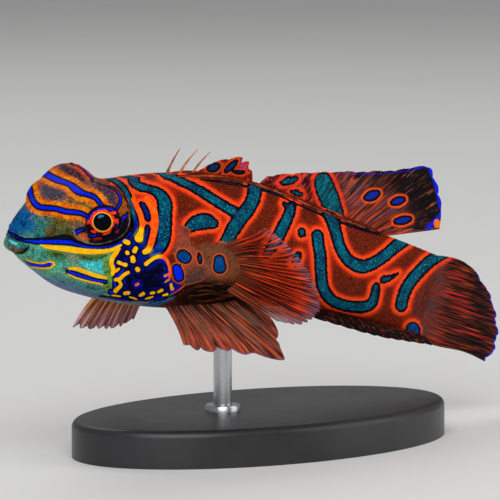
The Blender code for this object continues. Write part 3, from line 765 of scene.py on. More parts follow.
# The eye: black and red strokes over its navy ball, as the photograph shows the left one.
PUPIL_SPOT = ((102, 221.7, 8.5), (102.9, 222.1, 8.5))
IRIS_SPOT = ((101.8, 221.2, 11.6), (102.6, 221.4, 11.6))
IRIS_ARMS = (
    ((86.4, 223, 0.8), (89, 222.4, 1.6), (93, 221.4, 1.6)),
    ((116.8, 212.4, 0.8), (113.4, 213.4, 1.5), (110, 214.6, 1.8)),
    ((118, 223.6, 0.6), (117, 220.6, 1.6), (114, 221.6, 1.6), (111, 220, 1.6)),
    ((90, 232, 1.2), (94, 231.6, 1.6), (97, 230, 1.6)),
    ((104, 234, 1), (107, 232.4, 1.6), (110.6, 228.6, 1.6)),
)
IRIS_GAPS = (
    ((109.8, 216.4, 0.5), (111.4, 218.6, 0.9)), ((90.6, 226, 0.6), (93.4, 229.4, 0.9)),
    ((96.6, 233, 0.8), (101, 233.6, 1)),
)
EYE_BLUES = (
    (
        (88, 220, 0.9), (90.8, 215.8, 1.2), (94.6, 212, 1.1), (100, 209.4, 1.1), (107.7, 208.7, 1.2),
        (114, 209.2, 1.2),
    ),
    ((118, 211.4, 1), (120.3, 216.5, 1.3), (119.8, 222.7, 1.2), (117, 228, 0.9)),
)
# A painted highlight: a blue glint on the upper left of the pupil.
EYE_PAINTED_GLINT = (((98.4, 217.6, 0.3), (100.4, 216.3, 0.9), (103, 216, 0.4)),)


def drawn_zone(pixels, strokes, softness):
    """1 within strokes drawn on the photograph, fading to 0 over softness pixels."""
    return ease(drawn_distance(pixels, strokes) * PIXELS_PER_MM, softness, 0.0)


class Skin:
    """The skin's vertices, with what the strokes of paint need to know of them."""

    def __init__(self, mesh, tree):
        self.points = read_places(mesh)
        self.normals = read_triples(mesh.vertex_normals, "vector")
        self.station, self.out, self.rise, self.folded, left = in_fish_places(self.points)
        turned = self.normals - left * (2 * (self.normals * left).sum(axis=1) * (self.out < 0))[:, None]
        self.facing = turned @ np.array(VIEW_BACK)
        self.pixels = photo_pixels(self.folded)
        self.tree = tree

    def every_stroke(self, strokes, flat=True):
        """Distances to strokes that both sides carry.

        Where the skin faces the camera they are flat, as the photograph shows them, unless flat is False.
        """
        share = ease(self.facing, 0.1, 0.45) if flat else np.zeros(len(self.points))
        seen = share > 0
        hidden = share < 1
        flat = stroke_distances(self.pixels[seen] / PIXELS_PER_MM, strokes, flat_place)
        over_skin = stroke_distances(self.folded[hidden], strokes, self.on_skin)
        for near, far in zip(flat, over_skin):
            found = np.zeros(len(share))
            found[seen] += near * share[seen]
            found[hidden] += far * (1 - share[hidden])
            yield found

    def on_skin(self, across, down):
        return on_surface(self.tree, across, down)

    def folded_strokes(self, strokes, flat=True):
        return np.min(list(self.every_stroke(strokes, flat)), axis=0)

    def placed(self, rows):
        return [(*self.on_skin(across, down), width) for across, down, width in rows]

    def hidden_rows(self, stroke, near_side):
        """Where a stroke goes on over the side that the photograph hides: its near part, mirrored."""
        start, *near = self.placed((stroke[0],) + stroke[near_side:])
        near = np.array(near)
        _, out, _, _, left = in_fish_places(near[:, :3])
        near[:, :3] -= left * (2 * out)[:, None]
        first = int(np.argmin(np.linalg.norm(near[:, :3] - start[:3], axis=1))) + 2
        return [start] + [tuple(row) for row in near[first:]]

    def over_skin(self, rows):
        """Distance to a row of places with half widths, laid over the skin."""
        path = smooth_path(rows)
        places = [np.array(self.tree.find_nearest(row[:3])[0]) for row in path]
        return path_distance(self.points, places, [row[3] / PIXELS_PER_MM for row in path])

    def crossing_strokes(self, strokes, near_side):
        """Distance to strokes that cross the brow, as the photograph shows them and over the hidden side."""
        seen = self.normals @ np.array(VIEW_BACK) > 0.03
        flat = drawn_distance(photo_pixels(self.points), strokes)
        hidden = np.min([self.over_skin(self.hidden_rows(stroke, near_side)) for stroke in strokes], axis=0)
        return np.where(seen, flat, hidden)

    def turned_away(self):
        """Pixels added to a flat distance where the skin turns from the camera, so that it ends there."""
        return 30.0 * np.clip(0.18 - self.facing, 0.0, 1.0)

    def outline(self, corners):
        """Millimetres to a closed outline drawn on the photograph, below zero inside."""
        return (outline_distance(self.pixels, corners) + self.turned_away()) / PIXELS_PER_MM

    def zone(self, strokes, softness):
        return drawn_zone(self.pixels, strokes, softness)


VOXEL = 0.265
BODY_SIDES = 72
BODY_RINGS = 140


def add_body(shape):
    """The trunk, from the snout to the root of the tail fin."""
    made = bmesh.ops.create_uvsphere(shape, u_segments=BODY_SIDES, v_segments=BODY_RINGS, radius=1.0)["verts"]
    for vert in made:
        polar = math.acos(max(-1.0, min(1.0, vert.co.z)))
        share = 0.45 * (1.0 - math.cos(polar)) / 2 + 0.55 * polar / math.pi
        angle = math.degrees(math.atan2(vert.co.y, vert.co.x))
        station = BODY_START + share * (BODY_END - BODY_START)
        if min(share, 1 - share) < 1e-6:
            vert.co = in_fish(station, 0.0, 0.0)
        else:
            vert.co = body_point(station, angle)


LIP_HALF_WIDTH = 1.5
LIP_BACK = 2.7
LIP_FRONT = 1.1
UPPER_LIP = (0.72, 0.5)
LOWER_LIP = (-0.42, 0.78)


def add_lip(shape, rise, radius):
    points = []
    radii = []
    for i in range(17):
        turn = math.radians(-90 + 180 * i / 16)
        station = LIP_BACK - (LIP_BACK - LIP_FRONT) * math.cos(turn)
        points.append(in_fish(station, LIP_HALF_WIDTH * math.sin(turn), rise - 0.12 * (1 - math.cos(turn))))
        radii.append(radius * (0.55 + 0.45 * math.cos(turn)))
    add_strand(shape, points, radii)


def eye_look(side):
    forward, out, rise = EYE_LOOK
    return along(EYE_STATION, forward, out * side, rise).normalized()


def orb_centre(side):
    return in_fish(EYE_STATION, EYE_OUT * side, EYE_RISE)


def eye_centre(side):
    return orb_centre(side) + eye_look(side) * EYE_SUNK


def look_turn(side):
    """The turn that brings Z to the way an eye looks."""
    return eye_look(side).to_track_quat("Z", "Y").to_matrix().to_4x4()


# Forms that the trunk carries: station, out and rise of the middle, then the radii along, across and up.
BROWS = ((6.0, 2.2, 3.8), (2.6, 2.4, 2.3))
FOREHEAD = ((7.2, 0.0, 4.2), (3.4, 3.6, 2.0))
SHOULDERS = ((22.6, 5.9, -1.6), (2.9, 1.5, 2.7))
SHEATH = (17.6, 47.6)
SHEATH_OUT = 0.42
SHEATH_RADIUS = 0.36


def skin_block():
    """All the forms of the flesh as one closed, even mesh, in millimetres."""
    shape = bmesh.new()
    add_body(shape)
    for side in (1, -1):
        add_ball(shape, orb_centre(side), (ORB_RADIUS,) * 3)
        for (station, out, rise), radii in (BROWS, SHOULDERS):
            add_ball(shape, in_fish(station, out * side, rise), radii, fish_turn(station))
        points = []
        for i in range(41):
            station = SHEATH[0] + (SHEATH[1] - SHEATH[0]) * i / 40
            lift = 0.12 * math.sin(math.pi * i / 40) ** 0.4
            points.append(back_point(station, lift) + along(station, 0, SHEATH_OUT * side, 0))
        ends = [SHEATH_RADIUS * min(1.0, 0.3 + i / 6, 0.3 + (40 - i) / 6) for i in range(41)]
        add_strand(shape, points, ends)
    (station, out, rise), radii = FOREHEAD
    add_ball(shape, in_fish(station, out, rise), radii, fish_turn(station))
    add_lip(shape, *UPPER_LIP)
    add_lip(shape, *LOWER_LIP)
    bmesh.ops.recalc_face_normals(shape, faces=shape.faces)
    block = link("skin", new_mesh("skin", shape))
    step = block.modifiers.new("one_surface", "REMESH")
    step.mode = "VOXEL"
    step.voxel_size = VOXEL
    return settled(block)


def eye_offset(points):
    """How far points lie off the nearer eye's axis, and how far along it from the eye's middle."""
    off = np.full(len(points), FAR)
    ahead = np.zeros(len(points))
    for side in (1, -1):
        look = np.array(eye_look(side))
        away = points - np.array(eye_centre(side))
        forward = away @ look
        radius = np.linalg.norm(away - forward[:, None] * look, axis=1)
        radius = np.where(forward > 0, radius, FAR)
        ahead = np.where(radius < off, forward, ahead)
        off = np.minimum(off, radius)
    return off, ahead


def melt_joints(block):
    """Softens the joints between the forms, most of all on top of the head."""
    places = read_places(block.data)
    station, out, rise, _, _ = in_fish_places(places)
    lips = (station < 4.2) & (rise < 1.9)
    off, _ = eye_offset(places)
    brow = (station < 13) & ~lips & (off > 2.2) & ((rise > 4.6) | ((station < 6.5) & (rise > 0.5)))
    crown = brow & (np.abs(out) < 4.2) & (rise > 4.2)
    sheath = (np.abs(out) < 1.6) & (station > 16) & (rise > 0)
    everywhere = np.ones(len(places), bool)
    each_way = {"use_axis_x": True, "use_axis_y": True, "use_axis_z": True}
    with edited(block.data) as shape:
        shape.verts.ensure_lookup_table()
        for chosen, rounds in ((~lips & ~sheath, 3), (brow, 6), (crown, 12), (everywhere, 1)):
            verts = [shape.verts[i] for i in np.flatnonzero(chosen)]
            for _ in range(rounds):
                bmesh.ops.smooth_vert(shape, verts=verts, factor=0.5, **each_way)


def surface_tree(mesh):
    shape = bmesh.new()
    shape.from_mesh(mesh)
    tree = BVHTree.FromBMesh(shape)
    shape.free()
    return tree


def refine(block, wanted):
    """Splits the faces whose middles wanted() picks, each edge once."""
    with edited(block.data) as shape:
        chosen = wanted(np.array([f.calc_center_median() for f in shape.faces]))
        shape.faces.ensure_lookup_table()
        edges = {e for i in np.flatnonzero(chosen) for e in shape.faces[i].edges}
        bmesh.ops.subdivide_edges(shape, edges=list(edges), cuts=1, use_grid_fill=True, smooth=0.0)


HEAD_END = 21.0
FINE_REACH = 0.42
FINEST_REACH = 0.08
LID_EDGE = 1.67

# The nostril's station and angle on the body, and the height of the line between the lips.
NOSTRIL = (3.4, 48.5)
SLIT_RISE = 0.33
# How far the skin is raised or cut, in millimetres.
CREASE_DEPTH = 0.34
CREASE_LIP = 0.08
SLIT_DEPTH = 0.42
LID_HEIGHT = 0.15
LID_GROOVE = 0.25
FLAP_HEIGHT = 0.42
NOSTRIL_HEIGHT = 0.16
NOSTRIL_DEPTH = 0.25
PATCH_RIM = 0.05


def refine_head(block):
    """Makes the mesh finer where the head carries thin lines, creases and lips, most on the photo's side."""
    fine = FOLDED_LINES + GOLD + CREASES + BROW_STRIPES + (ORB_LINE, TURRET_RIM)

    def near_marks(middles, reach):
        station, out, rise, folded, _ = in_fish_places(middles)
        marks = np.full(len(middles), FAR)
        head = station < HEAD_END
        marks[head] = drawn_distance(photo_pixels(folded[head]), fine)
        lips = (station < 4.5) & (np.abs(rise) < 2.0)
        lids = np.abs(eye_offset(middles)[0] - LID_EDGE) < reach
        if reach == FINE_REACH:
            return (np.abs(marks) < reach) | lips | lids
        shown = (out > -1.0) | ((station < 13) & (rise > 3))
        return (np.abs(marks) < reach) & shown | lids

    refine(block, lambda middles: near_marks(middles, FINE_REACH))
    refine(block, lambda middles: near_marks(middles, FINEST_REACH))


def sculpt(skin, mesh):
    """Carves the creases and raises the flap, the eyelids and the rims, along the normals."""
    crease = skin.folded_strokes(CREASES, flat=False)
    lid = eye_offset(skin.points)[0] - LID_EDGE
    nostril = np.linalg.norm(skin.folded - np.array(body_point(*NOSTRIL)), axis=1)
    move = -CREASE_DEPTH * ease(crease, 0.24, -0.12)
    move += CREASE_LIP * ease(np.abs(crease - 0.42), 0.3, 0.0)
    move += CREASE_LIP * ease(skin.folded_strokes((TURRET_RIM,), flat=False), 0.16, -0.04)
    move -= SLIT_DEPTH * ease(mouth_slit_distance(skin), 0.2, -0.02)
    move += LID_HEIGHT * ease(np.abs(lid - 0.2), 0.24, 0.0)
    move -= LID_GROOVE * ease(lid, 0.02, -0.14)
    front = ease(skin.pixels[:, 0], 168, 186)
    move += FLAP_HEIGHT * front * ease(skin.outline(GILL_FLAP), 0.6 / PIXELS_PER_MM, -2.2 / PIXELS_PER_MM)
    move += NOSTRIL_HEIGHT * ease(np.abs(nostril - 0.26), 0.18, 0.0)
    move -= NOSTRIL_DEPTH * ease(nostril, 0.18, 0.02)
    move += PATCH_RIM * ease(np.abs(skin.outline(GILL_PATCH)), 0.5, 0.0)
    write_places(mesh, skin.points + skin.normals * move[:, None])


def mouth_slit_distance(skin):
    """From each point to the line between the lips, which runs round the front of the mouth."""
    places = []
    for i in range(21):
        turn = math.radians(-100 + 200 * i / 20)
        station = LIP_BACK - (LIP_BACK - LIP_FRONT + 0.45) * math.cos(turn)
        places.append(np.array(in_fish(station, (LIP_HALF_WIDTH + 0.5) * math.sin(turn), SLIT_RISE)))
    return path_distance(skin.points, places, [0.08] * len(places))


# Ground colours under the markings, laid one over the other: colour, softness in pixels and strokes.
RUST = tone(104, 29, 7)
GROUND = (
    # the trunk's underside, dark and brown
    (tone(74, 34, 16), 14, (((160, 312, 3), (300, 318, 3), (420, 352, 3)),)),
    # the brown root of the tail fin
    (tone(96, 38, 30), 16, (((428, 262, 2), (424, 295, 9), (424, 335, 3)), ((445, 300, 14),) * 2)),
    # brown-black where the pelvic and pectoral fins meet the belly, partly painted shade between the parts
    (tone(22, 14, 10), 13, (((186, 297, 7), (212, 296, 7), (238, 294, 6)),)),
    # the head from snout to cheek
    (tone(90, 160, 130), 6, (
        ((10, 245, 8), (40, 250, 14), (75, 262, 20), (95, 268, 20)),
        ((24, 264, 6), (50, 283, 6), (95, 298, 6), (130, 303, 4)),
    )),
    # teal and olive snout, deep blue in front
    (tone(44, 108, 104), 8, (((18, 222, 9), (32, 218, 12), (46, 226, 12)),)),
    (tone(4, 82, 142), 13, (((14, 227, 2), (20, 217, 5), (25, 225, 2)),)),
    (tone(88, 88, 42), 8, (((60, 222, 6), (66, 229, 4)),)),
    (tone(96, 78, 34), 5, (((50, 232, 3), (52, 233, 3)),)),
    # the brow, orange brown between the stripes with smoky middles
    (tone(190, 92, 22), 7, (
        ((34, 186, 5), (60, 196, 13), (88, 207, 8)),
        ((60, 172, 6), (84, 185, 6), (100, 192, 6)),
    )),
    (tone(58, 62, 84), 8, (((46, 190, 3), (53, 193, 5), (60, 195, 3)),)),
    (tone(110, 92, 50), 6, (((72, 200, 4), (84, 205, 3)),)),
    (tone(206, 72, 16), 4, (((70, 166, 2), (80, 170, 4), (88, 178, 3)),)),
    (tone(26, 46, 96), 3, (((61, 166.4, 1), (65, 167, 1)),)),
    (tone(50, 38, 58), 4, (((64, 168, 1.4), (70, 171.6, 2.6), (77, 176, 2.6), (83, 180.6, 1.6)),)),
    (tone(120, 74, 66), 4, (((86, 183, 1), (94, 184.4, 1.6), (101, 186.4, 1)),)),
    # the eye turret, with a smoky streak behind the eye
    (tone(158, 78, 24), 6, (((104, 188, 3), (115, 196, 4), (124, 204, 5), (124, 210, 4)),)),
    (tone(66, 46, 66), 6, (((99, 186, 1.6), (106, 191, 3), (111, 198, 3), (112, 203, 2)),)),
    (tone(10, 8, 22), 5, (
        ((95, 240, 2), (106, 238.5, 3), (116, 234.5, 4), (123, 226, 3.4), (124.6, 219, 1.6)),
    )),
    (tone(10, 8, 26), 3, (((86.4, 225, 1.8), (88, 230, 2)), ((88.4, 240, 1.2), (91, 242, 1)))),
    (tone(186, 92, 48), 4, (((78.5, 236, 2.4), (84.6, 238, 2.6)),)),
    (tone(164, 34, 18), 2.4, (((95.4, 238.4, 1), (100, 237.4, 0.8)), ((116, 230.6, 0.8), (116.6, 231, 0.8)))),
    (tone(118, 96, 76), 5, (((74, 226, 2), (80, 225, 2)),)),
    # cheek: cyan lights and yellow-green
    (tone(64, 182, 186), 12, (((86, 266, 2), (96, 265, 4), (101, 270, 2)),)),
    (tone(66, 142, 122), 11, (((38, 254, 2), (46, 257, 3), (62, 260, 2)),)),
    (tone(60, 92, 46), 6, (((50, 252.6, 1), (66, 256.4, 1), (88, 257.6, 1), (104, 256, 1)),)),
    (tone(112, 128, 104), 6, (((58, 278, 0.6), (66, 283, 0.6)), ((70, 257, 0.6), (76, 259, 0.6)))),
    (tone(70, 126, 128), 9, (((56, 282, 2), (74, 288, 3), (98, 291, 3)),)),
    (tone(104, 150, 62), 7, (((108, 262, 1.4), (109, 274, 2), (108, 284, 2)),)),
    # underside of the head: lilac blue, then grey
    (tone(96, 118, 158), 6, (((28, 270, 1), (52, 285, 2.4), (92, 299.5, 3), (116, 304, 2)),)),
    (tone(112, 120, 112), 5, (((108, 301, 1.6), (132, 304, 2.6), (150, 303, 1.6)),)),
    (tone(4, 84, 138), 2.6, (((122, 309.4, 0.8), (140, 308, 1.2), (156, 303.4, 1.6), (172, 297.4, 1.2)),)),
    # lips: teal, brown low on the lower lip that is partly painted shade, and a painted cyan highlight along
    # its top
    (tone(62, 104, 106), 4, (((12, 240, 4), (16, 245, 6), (23, 248, 4)),)),
    # partly painted shade: brown low on the lower lip
    (tone(96, 84, 66), 3, (((10, 246, 1), (16, 250.6, 1.4), (21, 251, 1)),)),
    # painted highlight: a cyan glint along the top of the lower lip
    (tone(90, 214, 220), 2, (((10, 240.6, 0.3), (13, 242.4, 0.5), (16.6, 244, 0.3)),)),
    (tone(40, 132, 120), 3, (((20, 243.6, 0.6), (26, 243, 1)),)),
    # fleshy base of the pectoral fin, and the flap before it
    (tone(104, 62, 38), 6, (((206, 252, 6), (224, 256, 9), (230, 268, 9)), ((208, 266, 8), (216, 272, 8)))),
    (tone(140, 64, 48), 6, (((176, 238, 8), (184, 250, 8), (190, 262, 9), (200, 268, 5)),)),
    (tone(72, 52, 48), 5, (((188, 277, 4), (198, 274, 5), (206, 275, 2)),)),
)
# The fold along the back that the dorsal fins rise from.
SHEATH_FOLD = (
    (178, 176.6, 1.6), (195, 175.8, 2), (217, 175.8, 2.2), (231.3, 177.6, 2.4), (245.7, 181.4, 2.4),
    (264.8, 187, 2.3), (288.7, 196, 2.2), (313.5, 207, 2.2), (346, 220.4, 2), (383, 234.4, 1.2),
)
LOWER_PAD = (((196, 292, 7), (214, 292, 8), (234, 292, 6)),)
# The fleshy root of the pectoral fin, and the head, as strokes that cover them.
SHOULDER_PAD = (((206, 252, 5), (220, 253, 9), (229, 266, 10)), ((207, 264, 6), (216, 272, 9)))
HEAD_COVER = (
    ((14, 240, 12), (50, 235, 40), (100, 250, 40)),
    ((112, 196, 8), (118, 214, 11), (118, 232, 9)),
    ((96, 180, 3), (106, 182, 2)),
)


GLOW_REACH = 0.54
TURRET_BACK = tone(150, 74, 30)
BAR_MELTING = 0.28


def ground_colours(pixels):
    colours = np.tile(np.array(RUST), (len(pixels), 1))
    for colour, softness, strokes in GROUND:
        share = drawn_zone(pixels, strokes, softness)[:, None]
        colours = colours * (1 - share) + np.array(colour) * share
    return colours


def paint_data(skin, mesh):
    """Stores distances to the markings and the ground colour at each vertex."""
    bars = skin.folded_strokes((LINE_UNDER_DORSALS,), flat=False)
    glow = np.zeros(len(bars))
    for bar in skin.every_stroke(BARS + (TAIL_SPOT,)):
        glow += np.exp(-((np.maximum(bar, 0.0) / GLOW_REACH) ** 2))
        bars = smooth_least(bars, bar, BAR_MELTING)
    stripes = skin.crossing_strokes(BROW_STRIPES, STRIPE_NEAR_SIDE)
    far_rows = skin.hidden_rows(ORB_LINE, ORB_LINE_NEAR_SIDE)
    orb_line = skin.over_skin(far_rows[::-1] + skin.placed(ORB_LINE[1:]))
    flap = skin.outline(GILL_FLAP)
    shoulder = skin.zone(SHOULDER_PAD + LOWER_PAD, 4)
    cover = np.maximum(ease(flap, 0.1, -0.1) * ease(skin.pixels[:, 0], 169, 186), shoulder)
    kept = {
        "bars": bars,
        "glow": glow,
        "royal": skin.zone(ROYAL, 10),
        "stripes": stripes,
        "lines": np.min((skin.folded_strokes(FOLDED_LINES), stripes, orb_line), axis=0),
        "gold": skin.folded_strokes(GOLD),
        "red_gold": skin.zone(RED_GOLD, 6),
        "patch": skin.outline(GILL_PATCH),
        "crease": skin.folded_strokes(CREASES, flat=False),
        "rim": skin.folded_strokes((TURRET_RIM,), flat=False),
        "sheath": skin.folded_strokes((SHEATH_FOLD,), flat=False),
        "lid": eye_offset(skin.points)[0] - LID_EDGE,
        "spots": skin.folded_strokes(FLAP_SPOTS + SHOULDER_SPOT + (TAIL_SPOT,)),
        "cover": cover * ease(skin.turned_away(), 4.0, 0.0),
        "flap": flap,
        "furrows": skin.zone(LOWER_PAD, 8),
        "head": skin.zone(HEAD_COVER, 6),
    }
    for label, values in kept.items():
        keep_number(mesh, label, values)
    colours = ground_colours(skin.pixels)
    behind = ease(skin.facing, 0.16, -0.02) * (skin.station > 5) * (skin.station < 14) * (skin.rise > 3)
    colours += (np.array(TURRET_BACK) - colours) * behind[:, None]
    brow = (skin.out < 0) & (skin.station < 14)
    seen = ease(skin.normals[brow] @ np.array(VIEW_BACK), 0.02, 0.2)[:, None]
    colours[brow] += (ground_colours(photo_pixels(skin.points[brow])) - colours[brow]) * seen
    keep_colour(mesh, "ground", colours)


def skin_paint():
    paint = Paint("painted_skin")
    wobble = paint.times(paint.math("SUBTRACT", paint.noise(0.4, 3.0, 0.6), 0.5), 0.3)
    bars = paint.plus(paint.number("bars"), wobble)
    fine_wobble = paint.times(paint.math("SUBTRACT", paint.noise(0.25, 2.0, 0.5), 0.5), 0.1)
    grain = paint.noise(0.2, 3.0, 0.75)
    clouds = paint.noise(1.4, 4.0, 0.65)
    patches = paint.noise(0.6, 4.0, 0.65, lift=0.01)
    ground = paint.colour("ground")
    head = paint.number("head")

    body = paint.lay(ground, tone(66, 16, 8), clouds, 0.35, 0.7, 0.4)
    body = paint.speckled(body, grain, 0.8, 0.7)
    body = paint.lay(body, tone(176, 78, 20), grain, 0.58, 0.66, 0.5)
    face = paint.mix(paint.slope(patches, 0.52, 0.66, 0.0, 0.5), ground, tone(96, 200, 196), "OVERLAY")
    face = paint.mix(paint.slope(patches, 0.46, 0.34, 0.0, 0.5), face, tone(60, 66, 40), "MULTIPLY")
    face = paint.mix(paint.slope(clouds, 0.54, 0.66, 0.0, 0.35), face, tone(120, 84, 50), "OVERLAY")
    face = paint.speckled(face, patches, 0.3, 0.25)
    face = paint.speckled(face, grain, 0.85, 0.6)
    brow_specks = paint.times(paint.slope(grain, 0.55, 0.63), paint.slope(paint.number("stripes"), 1.5, 1.0))
    face = paint.mix(paint.times(brow_specks, 0.7), face, tone(206, 116, 40))
    colour = paint.mix(head, body, face)

    glow = paint.uneven(paint.number("glow"), patches, 0.1)
    halo = paint.lay(tone(176, 34, 12), tone(255, 76, 20), bars, 0.55, 0.1)
    halo = paint.speckled(halo, grain, 0.5, 0.3)
    glow = paint.times(paint.slope(glow, 0.12, 0.68), paint.slope(head, 0.9, 0.3))
    colour = paint.mix(glow, colour, halo)
    amber = paint.lay(tone(214, 84, 8), tone(244, 142, 14), patches, 0.35, 0.65)
    amber = paint.speckled(amber, grain, 0.5, 0.2)
    edge = paint.uneven(paint.number("stripes"), grain, -0.14)
    colour = paint.lay(colour, amber, edge, 0.72, 0.34)

    cover = paint.number("cover")
    bare = paint.slope(cover, 0.5, 0.2)
    navy_edge = tone(3, 3, 26)
    colour = paint.mix(paint.times(paint.slope(bars, 0.04, -0.02), bare), colour, navy_edge)
    teal = paint.lay(tone(0, 42, 78), tone(0, 84, 110), clouds, 0.4, 0.62)
    teal = paint.lay(teal, tone(10, 196, 190), grain, 0.54, 0.68, 0.8)
    teal = paint.lay(teal, tone(0, 30, 52), grain, 0.46, 0.34, 0.6)
    royal = paint.lay(tone(2, 10, 110), tone(4, 44, 160), patches, 0.35, 0.65)
    teal = paint.mix(paint.number("royal"), teal, royal)
    colour = paint.mix(paint.times(paint.slope(bars, -0.2, -0.31), bare), colour, teal)

    fold = paint.plus(paint.number("sheath"), fine_wobble)
    fold_tone = paint.lay(tone(104, 36, 16), tone(172, 76, 42), clouds, 0.4, 0.6)
    fold_tone = paint.speckled(fold_tone, patches, 0.5, 0.3)
    fold_tone = paint.lay(fold_tone, tone(14, 5, 6), fold, -0.14, -0.04)
    colour = paint.lay(colour, fold_tone, fold, 0.03, -0.02)

    cover_tone = paint.lay(ground, tone(150, 66, 40), patches, 0.4, 0.7, 0.5)
    cover_tone = paint.lay(cover_tone, tone(70, 46, 42), clouds, 0.45, 0.75, 0.4)
    cover_tone = paint.speckled(cover_tone, grain, 0.6, 0.4)
    furrow = paint.noise(0.35, 3.0, 0.6, stretch=(0.12, 0.12, 1.0))
    furrow_tone = paint.lay(tone(14, 9, 8), tone(112, 54, 30), furrow, 0.5, 0.64)
    cover_tone = paint.mix(paint.number("furrows"), cover_tone, furrow_tone)
    colour = paint.lay(colour, cover_tone, cover, 0.3, 0.8)
    rim = paint.slope(paint.math("ABSOLUTE", paint.plus(paint.number("flap"), 0.1)), 0.12, 0.02)
    colour = paint.mix(paint.times(rim, paint.slope(cover, 0.3, 0.7, 0.0, 0.4)), colour, tone(150, 96, 70))
    spots = paint.plus(paint.number("spots"), fine_wobble)
    colour = paint.lay(colour, tone(206, 84, 26), spots, 0.26, 0.06, 0.75)
    colour = paint.lay(colour, tone(4, 4, 18), spots, 0.04, -0.02)
    spot_tone = paint.lay(tone(0, 56, 110), tone(0, 74, 150), patches, 0.4, 0.6)
    spot_tone = paint.mix(paint.number("royal"), spot_tone, tone(2, 34, 230))
    colour = paint.lay(colour, spot_tone, spots, -0.13, -0.22)

    patch = paint.plus(paint.number("patch"), fine_wobble)
    vein = paint.noise(0.4, 4.0, 0.7, lift=0.02)
    navy = paint.lay(tone(1, 1, 26), tone(4, 26, 110), vein, 0.52, 0.68, 0.7)
    near_gold = paint.slope(paint.uneven(paint.number("gold"), vein, -0.2), 0.5, 0.12)
    navy = paint.mix(paint.times(near_gold, 0.6), navy, tone(3, 16, 160))
    navy = paint.mix(paint.times(paint.number("royal"), 0.75), navy, tone(4, 28, 160))
    navy = paint.lay(navy, tone(4, 20, 170), patch, -0.5, -0.1, 0.6)
    colour = paint.lay(colour, navy, patch, 0.06, -0.06)

    gold = paint.plus(paint.number("gold"), fine_wobble)
    on_patch = paint.slope(patch, 0.2, -0.05)
    shade = paint.mix(on_patch, tone(128, 140, 44), tone(2, 2, 20))
    edge = paint.uneven(gold, grain, -0.06)
    shade_share = paint.plus(paint.slope(edge, 0.4, 0.02, 0.0, 0.55), paint.times(on_patch, 0.4))
    shade_share = paint.times(shade_share, paint.slope(gold, 0.4, 0.1))
    shade_share = paint.times(shade_share, paint.slope(paint.number("red_gold"), 0.3, 0.0))
    colour = paint.mix(shade_share, colour, shade)

    lid = paint.number("lid")
    colour = paint.lay(colour, tone(4, 4, 14), lid, 0.3, 0.06, 0.95)
    lines = paint.plus(paint.number("lines"), fine_wobble)
    colour = paint.lay(colour, tone(2, 2, 14), lines, 0.12, 0.0)
    blue = paint.lay(tone(0, 28, 226), tone(8, 84, 250), grain, 0.45, 0.75, 0.5)
    colour = paint.lay(colour, blue, lines, -0.09, -0.18)
    olive = paint.lay(tone(84, 94, 62), tone(150, 146, 96), patches, 0.4, 0.6)
    rim = paint.uneven(paint.number("rim"), grain, -0.05)
    colour = paint.lay(colour, olive, rim, 0.03, -0.06, 0.9)
    yellow = paint.lay(tone(255, 170, 0), tone(255, 206, 14), patches, 0.3, 0.7)
    orange = paint.lay(tone(250, 66, 16), tone(255, 110, 14), patches, 0.3, 0.7)
    yellow = paint.mix(paint.number("red_gold"), yellow, orange)
    colour = paint.lay(colour, yellow, gold, 0.03, -0.05)
    # painted shade: the creases nearly black
    colour = paint.lay(colour, tone(3, 3, 8), paint.number("crease"), 0.1, -0.04, 0.97)

    relief = paint.plus(paint.times(grain, 0.5), paint.times(patches, 0.8))
    paint.bump(relief, 0.05, 0.7)
    shine = paint.slope(grain, 0.3, 0.8, 0.42, 0.6)
    return paint.finish(colour, shine, specular_ior_level=0.03)


def make_skin():
    block = skin_block()
    melt_joints(block)
    tree = surface_tree(block.data)
    refine_head(block)
    sculpt(Skin(block.data, tree), block.data)
    tree = surface_tree(block.data)
    skin = Skin(block.data, tree)
    paint_data(skin, block.data)
    write_places(block.data, skin.points * MM)
    block.data.shade_smooth()
    block.data.materials.append(skin_paint())
    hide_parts("head", "torso", "tail", "gill_flap_left", "gill_flap_right")
    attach(block, "root")


# Eyes


def eye_paint():
    """Black pupil with a yellow rim, red iris with arms, blue lines on the navy ball, and a painted blue
    glint on the pupil.
    """
    paint = Paint("painted_eye")
    streak = paint.noise(0.3, 3.0, 0.6)
    fine = paint.noise(0.12, 2.0, 0.6)
    ragged = paint.slope(streak, 0.2, 0.8, 0.8, -0.8)
    colour = paint.lay(tone(2, 2, 12), tone(14, 10, 70), streak, 0.52, 0.66)
    colour = paint.lay(colour, tone(8, 22, 190), paint.number("blues"), 0.6, -0.4)
    red = paint.lay(tone(236, 14, 10), tone(255, 56, 40), fine, 0.4, 0.65)
    red = paint.lay(red, tone(255, 96, 20), streak, 0.5, 0.62)
    colour = paint.lay(colour, red, paint.plus(paint.number("iris"), ragged), 0.5, -0.4)
    colour = paint.lay(colour, tone(4, 2, 8), paint.number("gaps"), 0.5, -0.3)
    pupil = paint.number("pupil")
    colour = paint.lay(colour, tone(255, 190, 30), pupil, 1.5, 0.9)
    colour = paint.lay(colour, tone(0, 0, 2), pupil, 0.5, 0.1)
    # painted highlight: the blue glint on the pupil
    colour = paint.lay(colour, tone(60, 130, 230), paint.number("shine"), 1.0, -0.6, 0.8)
    return paint.finish(colour, 0.3, specular_ior_level=0.03, coat_weight=0.05, coat_roughness=0.03)


